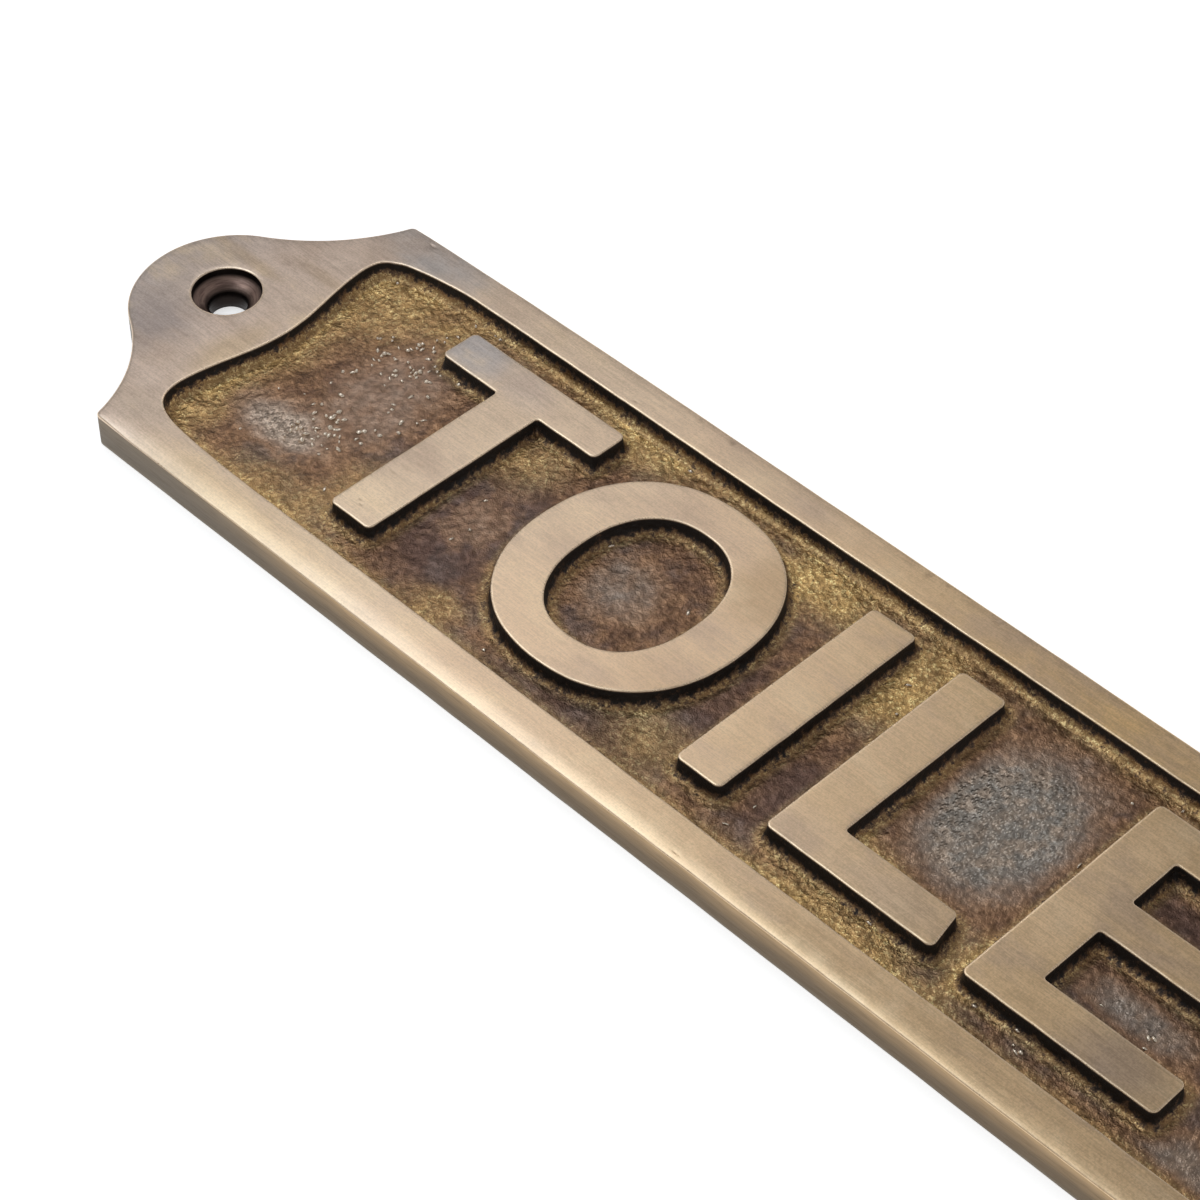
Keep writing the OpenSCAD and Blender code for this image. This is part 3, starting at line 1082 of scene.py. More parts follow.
class Wiring:
    """Adds nodes to a node tree and links them."""

    def __init__(self, tree: bpy.types.NodeTree) -> None:
        """Keeps the tree."""
        self.tree = tree

    def feed(self, socket: bpy.types.NodeSocket, value: object) -> None:
        """Links an input to what gives its value, or sets it.

        Args:
            socket: The input.
            value: A Value, an output, or what the input holds.
        """
        if isinstance(value, Value):
            value = value.socket
        if isinstance(value, bpy.types.NodeSocket):
            self.tree.links.new(value, socket)
        else:
            socket.default_value = value

    def node(self, kind: str, feeds: Feeds | None = None, **settings: object) -> bpy.types.Node:
        """Adds a node.

        Args:
            kind: Its type.
            feeds: What its inputs get, by name or number.
            **settings: Its properties.

        Returns:
            The node.
        """
        made = self.tree.nodes.new(kind)
        for name, setting in settings.items():
            setattr(made, name, setting)
        for name, value in (feeds or {}).items():
            self.feed(made.inputs[name], value)
        return made

    def value(self, kind: str, output: str | int, feeds: Feeds | None = None, **settings: object) -> Value:
        """One output of a new node."""
        return Value(self, self.node(kind, feeds, **settings).outputs[output])

    def math(self, operation: str, *values: object) -> Value:
        """A Math node's result."""
        return self.value("ShaderNodeMath", 0, dict(enumerate(values)), operation=operation)

    def vector(self, operation: str, first: object, second: object) -> Value:
        """A Vector Math node's vector."""
        return self.value("ShaderNodeVectorMath", "Vector", {0: first, 1: second}, operation=operation)

    def noise(self, place: Value, scale: object, detail: float, rough: float, seed: object) -> Value:
        """A Noise Texture's value. The seed is its fourth coordinate."""
        feeds = {"Vector": place, "W": seed, "Scale": scale, "Detail": detail, "Roughness": rough}
        return self.value("ShaderNodeTexNoise", 0, feeds, noise_dimensions="4D")

    def blend(self, share: object, first: object, second: object, kind: str = "MIX") -> Value:
        """A mix of two colours."""
        first, second = ((*each, 1.0) if isinstance(each, tuple) else each for each in (first, second))
        return self.value("ShaderNodeMix", 2, {0: share, 6: first, 7: second}, data_type="RGBA", blend_type=kind)

    def coats(self, under: object, *coats: tuple[object, object]) -> Value:
        """A colour under one coat after another.

        Args:
            under: The lowest colour.
            *coats: How far each coat covers, 0 to 1, and its colour.

        Returns:
            The colour that shows.
        """
        for share, coat in coats:
            under = self.blend(share, under, coat)
        return under

    def shaded(self, colour: Value, shade: Value) -> Value:
        """A colour made darker or lighter. A shade of 1 leaves it as it is."""
        grey = self.value("ShaderNodeCombineColor", 0, {0: shade, 1: shade, 2: shade})
        return self.blend(1.0, colour, grey, "MULTIPLY")


@dataclass(frozen=True)
class Grain:
    """A noise pattern on the casting's own coordinates in mm."""

    scale: float  # how fine it is: features of about 1 mm for a scale of 1
    detail: float  # how many finer layers it has
    rough: float  # how strong they are
    seed: float  # its seed
    stretch: tuple[float, float, float] | None = None  # how much finer it is along each axis


class FinishMaterial(Wiring):
    """The node tree of a finish's material."""

    def __init__(self, name: str) -> None:
        """Starts the material, with its coordinates in millimetres.

        Args:
            name: The material's name.
        """
        self.material = bpy.data.materials.new(name)
        self.material.use_nodes = True
        super().__init__(self.material.node_tree)
        self.place = self.vector("MULTIPLY", self.node("ShaderNodeTexCoord").outputs["Object"], (1 / MM,) * 3)

    def axis(self, name: str) -> Value:
        """One of the coordinates in millimetres."""
        return self.value("ShaderNodeSeparateXYZ", name, {0: self.place})

    def layer(self, name: str) -> Value:
        """The value of one of the mesh's point layers."""
        return self.value("ShaderNodeAttribute", "Fac", attribute_name=name)

    def grain(self, grain: Grain) -> Value:
        """A noise pattern."""
        place = self.vector("MULTIPLY", self.place, grain.stretch) if grain.stretch else self.place
        return self.noise(place, grain.scale, grain.detail, grain.rough, grain.seed)

    def bump(self, *heights: tuple[Value, float]) -> Value | None:
        """Bumps on top of each other.

        Args:
            *heights: Each bump's height from 0 to 1, and its depth in metres.

        Returns:
            The normal.
        """
        normal = None
        for height, depth in heights:
            feeds = {"Height": height, "Distance": depth, "Strength": 1.0}
            if normal is not None:
                feeds["Normal"] = normal
            normal = self.value("ShaderNodeBump", "Normal", feeds)
        return normal

    def dress(self, colour: Value, dull: object, metal: object, normal: Value) -> bpy.types.Material:
        """Feeds the shader.

        Args:
            colour: The base colour.
            dull: The roughness.
            metal: How metallic it is.
            normal: The normal.

        Returns:
            The finished material.
        """
        shader = self.tree.nodes["Principled BSDF"].inputs
        for name, value in (("Base Color", colour), ("Roughness", dull), ("Metallic", metal), ("Normal", normal)):
            self.feed(shader[name], value)
        return self.material


# ---------------- finishes


@dataclass(frozen=True)
class PatinaAndShadePatch(Spot):
    """A soft patch where a dressed top has another colour: its patina, and painted light and shade where the top
    looks brighter or darker.
    """

    colour: Colour = (0.5, 0.5, 0.5)  # its colour


@dataclass(frozen=True)
class DressedBrass:
    """Brushed antique brass: the tops of the letters and of the border."""

    stops: tuple[tuple[float, Colour], ...] = (  # where along X, in mm, the patina has which colour
        (-112.0, (0.5, 0.425, 0.39)), (-98.0, (0.615, 0.485, 0.4)), (-84.0, (0.62, 0.478, 0.365)),
        (-58.0, (0.655, 0.505, 0.37)), (-34.0, (0.665, 0.49, 0.34)), (-8.0, (0.665, 0.48, 0.305)),
        (28.0, (0.69, 0.485, 0.285)))
    patina_and_shade_patches: tuple[PatinaAndShadePatch, ...] = (  # patches of other colours: patina, and painted light and shade
        PatinaAndShadePatch(-73.5, 14.0, 7.0, 5.0, 0.85, (0.43, 0.395, 0.385)),
        PatinaAndShadePatch(-88.0, 21.5, 9.0, 5.0, 0.8, (0.42, 0.39, 0.38)),
        PatinaAndShadePatch(-102.0, -9.5, 5.5, 6.5, 0.85, (0.37, 0.31, 0.285)),
        PatinaAndShadePatch(-92.0, -6.3, 2.6, 7.0, 0.7, (0.58, 0.43, 0.28)),
        PatinaAndShadePatch(-92.0, -19.5, 5.0, 3.5, 0.6, (0.5, 0.39, 0.3)),
        PatinaAndShadePatch(-23.5, 9.0, 5.0, 6.5, 0.8, (0.52, 0.365, 0.225)),
        PatinaAndShadePatch(-22.0, -8.0, 6.0, 5.0, 0.5, (0.57, 0.4, 0.26)),
        PatinaAndShadePatch(41.0, -12.0, 6.0, 4.0, 0.85, (0.45, 0.33, 0.235)),
        PatinaAndShadePatch(14.0, -12.0, 6.5, 3.5, 0.75, (0.55, 0.405, 0.28)),
        PatinaAndShadePatch(26.5, 2.0, 4.0, 14.0, 0.7, (0.79, 0.57, 0.36)),
        PatinaAndShadePatch(-72.0, 12.8, 3.5, 3.0, 0.6, (0.47, 0.42, 0.4)),
        PatinaAndShadePatch(-64.0, 13.0, 4.5, 3.0, 0.7, (0.55, 0.44, 0.37)),
        PatinaAndShadePatch(-33.0, 21.5, 10.0, 2.5, 0.6, (0.59, 0.45, 0.32)),
        PatinaAndShadePatch(-72.0, -22.0, 16.0, 3.0, 0.7, (0.67, 0.505, 0.325)),
        PatinaAndShadePatch(6.0, 18.0, 34.0, 8.0, 0.6, (0.68, 0.475, 0.265)),
        PatinaAndShadePatch(-2.0, -12.5, 16.0, 3.6, 0.55, (0.665, 0.495, 0.345)),
        PatinaAndShadePatch(-104.0, 5.5, 7.5, 1.1, 0.6, (0.45, 0.33, 0.215)),
        PatinaAndShadePatch(-106.0, 1.0, 5.0, 8.0, 0.5, (0.5, 0.4, 0.33)),
        PatinaAndShadePatch(-93.5, 9.5, 5.0, 1.0, 0.5, (0.5, 0.37, 0.25)),
        PatinaAndShadePatch(18.0, -22.0, 20.0, 2.5, 0.5, (0.53, 0.37, 0.22)),
        PatinaAndShadePatch(12.0, 20.6, 18.0, 2.5, 0.7, (0.78, 0.52, 0.25)),
        PatinaAndShadePatch(-62.8, -11.0, 5.0, 4.0, 0.6, (0.74, 0.575, 0.4)),
    )
    sway: Grain = Grain(0.05, 3.0, 0.55, 3.1)  # how the border between two stops wanders
    sway_reach: float = 12.0  # how far it wanders, in mm
    ragged: Grain = Grain(0.22, 3.0, 0.6, 8.8)  # what makes the patches' borders uneven
    ragged_reach: float = 0.45  # how uneven they are, as a share of a tint's size
    cloud: Grain = Grain(0.16, 4.0, 0.6, 5.7, (0.5, 1.0, 1.0))  # the soft clouds of the patina
    dim: Colour = (0.47, 0.35, 0.27)  # colour of its dim clouds
    warm: Colour = (0.76, 0.585, 0.39)  # colour of its warm clouds
    fine: Grain = Grain(1.0, 3.0, 0.65, 8.2, (0.45, 8.0, 2.0))  # the finest brush marks
    wide: Grain = Grain(1.0, 2.0, 0.5, 1.4, (0.14, 2.2, 1.0))  # the wider ones
    speck: Grain = Grain(5.0, 2.0, 0.6, 4.9)  # specks between them
    rim: Colour = (1.0, 0.79, 0.56)  # colour of the edges that handling has polished, with a painted highlight on them
    rim_wear: Grain = Grain(0.8, 3.0, 0.6, 2.2)  # where the polish and its painted highlight break off
    stain: Colour = (0.2, 0.12, 0.07)  # colour of pits and stains
    roughness: float = 0.33  # how dull the brushed metal is
    rim_roughness: float = 0.26  # how dull the polished edges are
    ripple: Grain = Grain(0.22, 2.0, 0.5, 6.6)  # the slight waviness of the dressing
    ripple_depth: float = 0.00006  # its depth in metres
    streak_depth: float = 0.000016  # depth of the brush marks in metres

    def _patina(self, m: FinishMaterial) -> Value:
        """The patina's colour by place, with painted light and shade in some of its patches.

        Args:
            m: The material.

        Returns:
            The colour.
        """
        x = m.axis("X") + m.grain(self.sway).around(0.0, self.sway_reach)
        steps = zip(self.stops, self.stops[1:])
        colour = m.coats(self.stops[0][1], *((x.spread(low, high), after) for (low, _), (high, after) in steps))
        ragged = m.grain(self.ragged).around(0.0, self.ragged_reach)
        # Patina patches, and painted light and shade on the tops.
        for top_patch in self.patina_and_shade_patches:
            moved = m.vector("SUBTRACT", m.place, (top_patch.x, top_patch.y, 0.0))
            scaled = m.vector("MULTIPLY", moved, (1 / top_patch.long, 1 / top_patch.wide, 0.0))
            away = m.value("ShaderNodeVectorMath", "Value", {0: scaled}, operation="LENGTH")
            colour = m.blend((away + ragged).spread(1.35, 0.25, 0.0, top_patch.strength), colour, top_patch.colour)
        return colour

    def build(self) -> bpy.types.Material:
        """Makes the material.

        Returns:
            The material.
        """
        m = FinishMaterial("brushed_antique_brass")
        cloud, fine = m.grain(self.cloud), m.grain(self.fine)
        streak = fine * 0.4 + m.grain(self.wide) * 0.2 + m.grain(self.speck) * 0.4
        colour = m.coats(self._patina(m), (cloud.spread(0.48, 0.68, 0.0, 0.5), self.dim),
                         (cloud.spread(0.48, 0.32, 0.0, 0.45), self.warm))
        # The rim layer lays polish and a painted highlight along the edges.
        rim = m.layer("rim") * m.grain(self.rim_wear).spread(0.3, 0.55, 0.4, 1.0)
        colour = m.coats(m.shaded(colour, streak.spread(0.38, 0.62, 0.8, 1.1)), (rim * 0.8, self.rim),
                         (m.layer("stain") * fine.spread(0.35, 0.6), self.stain))
        dull = streak.spread(0.3, 0.7, self.roughness - 0.05, self.roughness + 0.06)
        dull = dull + rim * (self.rim_roughness - self.roughness)
        normal = m.bump((m.grain(self.ripple), self.ripple_depth), (streak, self.streak_depth))
        return m.dress(colour, dull, 1.0, normal)


@dataclass(frozen=True)
class SandCast:
    """The rough casting skin: the recess's floor and walls, and the back."""

    broad: Grain = Grain(0.2, 3.0, 0.55, 1.0)  # the broadest clouds of the patina
    cloud: Grain = Grain(0.65, 2.0, 0.5, 2.0)  # its smaller clouds
    lumps: Grain = Grain(1.3, 1.0, 0.5, 4.0)  # the skin's lumps
    grain: Grain = Grain(2.3, 2.0, 0.5, 3.0)  # its grain
    speck: Grain = Grain(6.0, 1.0, 0.5, 12.0)  # its finest specks
    cool: Grain = Grain(0.4, 2.0, 0.6, 15.0)  # where a grey patch is bluish
    pebble_scale: float = 2.2  # how many of the grey patches' pebbles go into 1 mm
    # depths in metres of the lumps, the grain, the specks and the pebbles
    depths: tuple[float, float, float, float] = (0.00015, 0.00013, 0.00005, 0.00015)
    # where along X, in mm, the paler patches end and where the others begin
    left_end: tuple[float, float] = (-64.0, -42.0)
    brown: Colour = (0.335, 0.184, 0.1)  # colour of the plain patina
    dark: Colour = (0.145, 0.08, 0.053)  # colour of its dark mottling
    purple: Colour = (0.155, 0.11, 0.095)  # colour of its purplish clouds
    gold: Colour = (0.58, 0.36, 0.143)  # colour of the olive gold that shows along the edges
    bright: Colour = (0.97, 0.75, 0.35)  # colour of painted glints on the gold's brightest grains
    rust: Colour = (0.36, 0.19, 0.095)  # colour of the ring round a grey patch
    umber: Colour = (0.135, 0.08, 0.064)  # colour of the dark brown patches
    steel: Colour = (0.43, 0.345, 0.275)  # colour of the grey patches
    pale: Colour = (0.56, 0.435, 0.345)  # colour of the paler ones at the left-hand end
    blue: Colour = (0.325, 0.3, 0.268)  # colour of their bluish parts
    crest: Colour = (0.8, 0.71, 0.6)  # colour of their worn crests, with a painted highlight
    spark: Colour = (0.9, 0.77, 0.62)  # colour of the bare beads, painted pale as a highlight
    wall: Colour = (0.012, 0.008, 0.006)  # colour of the dark patina and painted shade on the walls
    foot: Colour = (0.1, 0.055, 0.03)  # colour of the patina and painted shade at their feet
    bare_rim_and_highlight: Colour = (0.62, 0.42, 0.27)  # colour of the walls' polished upper edge, with a painted highlight on it

    def _bare_metal(self, m: FinishMaterial, pebbles: Value, lit: Value) -> Value:
        """The colour of the grey patches, with painted highlights on the crests of their pebbles.

        Args:
            m: The material.
            pebbles: The pebbles' height.
            lit: Where the metal is worn smooth and its crests take a painted highlight.

        Returns:
            The colour.
        """
        given, rightwards = m.layer("steel"), m.axis("X").spread(*self.left_end)
        cool = m.grain(self.cool).spread(0.38, 0.6) * (rightwards * 0.9 + 0.1)
        rubbed_and_highlit = pebbles.spread(0.3, 1.0) * lit.spread(0.85, 1.15, 0.1, 1.0)
        return m.coats(m.blend(rightwards, self.pale, self.steel), (cool, self.blue),
                       (given.spread(0.8, 0.45, 0.0, 0.3), self.umber),
                       (rubbed_and_highlit * given.spread(0.6, 1.0, 0.0, 0.7), self.crest))

    def build(self) -> bpy.types.Material:
        """Makes the material.

        Returns:
            The material.
        """
        m = FinishMaterial("sand_cast_patina")
        broad, cloud, lumps = m.grain(self.broad), m.grain(self.cloud), m.grain(self.lumps)
        grain, speck = m.grain(self.grain), m.grain(self.speck)
        shine = grain * 0.5 + speck * 0.5
        squashed = m.vector("MULTIPLY", m.place, (1.0, 0.8, 1.0))
        pebbles = m.value("ShaderNodeTexVoronoi", "Distance", {"Vector": squashed, "Scale": self.pebble_scale})
        pebbles = pebbles.spread(0.62, 0.0)
        bead = m.layer("bead")
        umber = m.layer("stain") + broad.around(0.0, 0.4)
        gold = m.layer("gold") * (broad + cloud * 0.6).spread(0.5, 0.95, 0.5, 1.0)
        grey = m.layer("steel") + cloud.around(0.0, 0.25)
        steel = grey.spread(0.05, 0.85)
        # The walls' dark patina and the painted shade at their feet, broken up by the skin's lumps.
        dark = m.layer("wall") + (lumps - shine) * 1.3 - bead * 0.5
        shadow = dark.spread(0.22, 0.62)

        # Among these coats, the gold's brightest grains are painted glints.
        colour = m.coats(m.blend(cloud.spread(0.25, 0.72, 0.1, 1.0), self.dark, self.brown),
                         (umber.spread(0.1, 0.8, 0.0, 0.9), self.umber),
                         (broad.spread(0.45, 0.68, 0.0, 0.75), self.purple),
                         (gold, m.blend(shine.spread(0.52, 0.62), self.gold, self.bright)),
                         (grey.spread(0.08, 0.3, 0.0, 0.55), self.rust),
                         (steel * 0.9, self._bare_metal(m, pebbles, cloud + lumps)))
        # Patina in the skin's hollows and painted shade: darker in its hollows, lighter on its lumps.
        shade = (shine * 0.4 + lumps * 0.6).spread(0.36, 0.64, 0.68, 1.18)
        # Pale beads painted as glints, the walls' patina with painted shade at their feet, and their polished upper
        # edge with a painted highlight.
        colour = m.coats(m.shaded(colour, shade), (bead * 0.85, self.spark),
                         (shadow, m.blend(dark.spread(0.5, 0.8), self.foot, self.wall)),
                         (m.layer("rim") * 0.75, self.bare_rim_and_highlight))
        dull = steel.spread(0.0, 1.0, 0.37, 0.35) - bead * 0.09 + shadow * 0.2
        calm = umber.spread(0.0, 0.8, 1.0, 0.5) * steel.spread(0.0, 1.0, 1.0, 0.6)
        heights = (lumps * calm, grain * calm, speck, pebbles * steel.spread(0.7, 1.0))
        return m.dress(colour, dull, shadow.spread(0.0, 1.0, 0.95, 0.3), m.bump(*zip(heights, self.depths)))


@dataclass(frozen=True)
class FiledBrass:
    """The filed sides of the plate, browner and duller than its face."""

    upper: Colour = (0.42, 0.292, 0.165)  # colour just under the ridge, a painted highlight
    middle: Colour = (0.265, 0.184, 0.105)  # colour of the side
    lower: Colour = (0.165, 0.12, 0.076)  # colour of its lower half
    foot: Colour = (0.2, 0.165, 0.12)  # colour of its lowest edge
    stroke: Colour = (0.09, 0.068, 0.045)  # colour of the file's deeper strokes
    grey: Colour = (0.15, 0.123, 0.094)  # colour of the greyer left end
    cloud: Grain = Grain(0.2, 3.0, 0.6, 4.4, (0.5, 0.5, 1.0))  # how the colours' borders wander
    strokes: Grain = Grain(1.0, 3.0, 0.6, 2.4, (0.4, 0.4, 7.0))  # the file's strokes
    depth: float = 0.00002  # their depth in metres

    def build(self) -> bpy.types.Material:
        """Makes the material.

        Returns:
            The material.
        """
        m = FinishMaterial("filed_side_brass")
        strokes = m.grain(self.strokes)
        height = m.axis("Z") + m.grain(self.cloud).around(0.0, 0.7)
        # The side is lighter just under the ridge, a painted highlight, and darker towards the bottom.
        colour = m.coats(self.lower, (height.spread(1.4, 2.8), self.middle), (height.spread(2.8, 3.9), self.upper),
                         (m.axis("X").spread(-52.0, -82.0, 0.0, 0.85), self.grey),
                         (height.spread(0.9, 0.1, 0.0, 0.7), self.foot),
                         (strokes.spread(0.5, 0.75, 0.0, 0.35), self.stroke))
        return m.dress(colour, strokes.spread(0.3, 0.7, 0.4, 0.52), 1.0, m.bump((strokes, self.depth)))


@dataclass(frozen=True)
class DrilledBrass:
    """The turned metal of a screw hole under its dark patina."""

    cone: Colour = (0.4, 0.265, 0.215)  # colour of the countersink's cone
    groove: Colour = (0.15, 0.095, 0.08)  # colour between the drill's marks
    cloudy: Colour = (0.5, 0.36, 0.29)  # colour of its pale clouds
    dark: Colour = (0.02, 0.014, 0.012)  # colour of the upright walls
    rim: Colour = (0.6, 0.42, 0.28)  # colour of the polished edge, with a painted highlight on it
    rings: Grain = Grain(1.0, 3.0, 0.6, 7.0, (0.3, 0.3, 5.0))  # the drill's marks
    cloud: Grain = Grain(0.6, 3.0, 0.6, 1.7)  # the clouds
    depth: float = 0.00003  # depth of the drill's marks in metres

    def build(self) -> bpy.types.Material:
        """Makes the material.

        Returns:
            The material.
        """
        m = FinishMaterial("drilled_dark_brass")
        rings, cloud = m.grain(self.rings), m.grain(self.cloud)
        # The rim layer paints a highlight on the polished edge.
        colour = m.coats(self.cone, (rings.spread(0.35, 0.7), self.groove),
                         (cloud.spread(0.45, 0.7, 0.0, 0.5), self.cloudy),
                         (m.layer("wall"), self.dark), (m.layer("rim"), self.rim))
        return m.dress(colour, cloud.spread(0.3, 0.7, 0.28, 0.4), 0.9, m.bump((rings, self.depth)))


# ---------------- sand and grit


@dataclass(frozen=True)
class SandSurface:
    """The Geometry Nodes tree that gives the casting its sand grain and its grit."""

    swell_height: float = 0.0003  # height of the broad swells of the floor, in metres
    swell_size: float = 0.006  # their size in metres
    grain_height: float = 0.0002  # height of the sand's grain in metres
    grain_size: float = 0.00095  # its size in metres
    grit_density: float = 1250000.0  # grit beads for each square metre, where the floor is roughest
    grit_size: float = 0.0005  # a bead's radius in metres
    grit_least: tuple[float, float, float] = (0.3, 0.25, 0.2)  # the smallest bead's share of that along each axis
    grit_most: tuple[float, float, float] = (1.1, 0.8, 0.75)  # the largest bead's share
    seed: int = 7  # seed of the noise and of the beads

    def _sizes(self) -> dict[str, float | int]:
        """The tree's inputs.

        Returns:
            Their values by name.
        """
        return {"Swell height": self.swell_height, "Swell size": self.swell_size, "Grain height": self.grain_height,
                "Grain size": self.grain_size, "Grit density": self.grit_density, "Grit size": self.grit_size,
                "Seed": self.seed}

    def _beads(self, w: Wiring, given: dict[str, Value], moved: Value, crowd: Value) -> Value:
        """The grit beads.

        Args:
            w: The tree's wiring.
            given: The tree's inputs.
            moved: The casting with its grain.
            crowd: How crowded the beads are at each point, 0 to 1.

        Returns:
            The beads' geometry.
        """
        bead = w.value("GeometryNodeMeshIcoSphere", 0, {"Subdivisions": 1, "Radius": given["Grit size"]})
        size = w.value("FunctionNodeRandomValue", 0, {0: self.grit_least, 1: self.grit_most, "Seed": given["Seed"]},
                       data_type="FLOAT_VECTOR")
        points = w.node("GeometryNodeDistributePointsOnFaces",
                        {"Mesh": moved, "Density": crowd * given["Grit density"], "Seed": given["Seed"]},
                        distribute_method="RANDOM").outputs
        shape = w.value("GeometryNodeInstanceOnPoints", 0, {
            "Points": points["Points"], "Instance": bead, "Rotation": points["Rotation"], "Scale": size})
        shape = w.value("GeometryNodeRealizeInstances", 0, {0: shape})
        shape = w.value("GeometryNodeSetShadeSmooth", 0, {0: shape})
        for layer, kind, domain, number in (("bead", "FLOAT", "POINT", 1.0), ("steel", "FLOAT", "POINT", 0.5),
                                            ("finish", "INT", "FACE", Finish.CAST.value)):
            shape = w.value("GeometryNodeStoreNamedAttribute", 0, {"Name": layer, "Geometry": shape, "Value": number},
                            data_type=kind, domain=domain)
        return shape

    def tree(self, finishes: Finishes) -> tuple[bpy.types.NodeTree, dict[str, str]]:
        """Builds the tree.

        Args:
            finishes: The material of each finish.

        Returns:
            The node group, and the identifier of each of its inputs by name.
        """
        tree = bpy.data.node_groups.new("sand_surface", "GeometryNodeTree")
        for way in ("INPUT", "OUTPUT"):
            tree.interface.new_socket("Casting", in_out=way, socket_type="NodeSocketGeometry")
        inputs = {}
        for name, size in self._sizes().items():
            kind = "NodeSocketInt" if isinstance(size, int) else "NodeSocketFloat"
            inputs[name] = tree.interface.new_socket(name, in_out="INPUT", socket_type=kind).identifier
        w = Wiring(tree)
        given = {socket.name: Value(w, socket) for socket in w.node("NodeGroupInput").outputs}
        place = w.value("GeometryNodeInputPosition", 0)

        def layer(name: str, kind: str = "FLOAT") -> Value:
            """One of the mesh's layers."""
            return w.value("GeometryNodeInputNamedAttribute", "Attribute", {"Name": name}, data_type=kind)

        def waves(size: str, detail: float, shift: float) -> Value:
            """Noise around 0 whose features have this input's size."""
            return w.noise(place, w.math("DIVIDE", 1.0, given[size]), detail, 0.55, given["Seed"] + shift) - 0.5

        rough = layer("rough")
        push = (waves("Swell size", 1.0, 0.0) * given["Swell height"]
                + waves("Grain size", 2.0, 40.0) * given["Grain height"]) * rough
        offset = w.value("ShaderNodeVectorMath", "Vector",
                         {0: w.value("GeometryNodeInputNormal", 0), "Scale": push * 2.0}, operation="SCALE")
        moved = w.value("GeometryNodeSetPosition", 0, {"Geometry": given["Casting"], "Offset": offset})
        crowd = (waves("Swell size", 2.0, 80.0).spread(-0.1, 0.12, 0.1, 1.0) * rough.spread(0.85, 1.0)
                 * layer("grit").spread(0.0, 1.0, 0.012, 1.0))
        joined = w.node("GeometryNodeJoinGeometry", {0: self._beads(w, given, moved, crowd)})
        w.feed(joined.inputs[0], moved)
        shape, worn = joined.outputs[0], layer("finish", "INT")
        for finish, material in finishes.items():
            chosen = w.value("FunctionNodeCompare", 0, {2: worn, 3: finish.value}, data_type="INT", operation="EQUAL")
            feeds = {"Geometry": shape, "Selection": chosen, "Material": material}
            shape = w.value("GeometryNodeSetMaterial", 0, feeds)
        w.node("NodeGroupOutput", {0: shape})
        return tree, inputs

    def apply(self, casting: bpy.types.Object, finishes: Finishes) -> bpy.types.Object:
        """Runs the tree on a casting and keeps the result as a plain mesh.

        Args:
            casting: The object to treat, which is removed.
            finishes: The material of each finish.

        Returns:
            A new object of the same name.
        """
        modifier = casting.modifiers.new("sand", "NODES")
        modifier.node_group, inputs = self.tree(finishes)
        for name, size in self._sizes().items():
            modifier[inputs[name]] = size
        graph = bpy.context.evaluated_depsgraph_get()
        mesh = bpy.data.meshes.new_from_object(casting.evaluated_get(graph), preserve_all_data_layers=True,
                                               depsgraph=graph)
        name = casting.name
        casting.modifiers.remove(modifier)
        bpy.data.objects.remove(casting)
        mesh.name = name
        return link(bpy.data.objects.new(name, mesh))


# ---------------- the casting


@dataclass(frozen=True)
class Patch(Spot):
    """A soft patch of patina on the recess's floor."""

    def at(self, plan: np.ndarray) -> np.ndarray:
        """The patch's weight at each point."""
        return self.strength * np.exp(-(self.away(plan) ** 1.4))


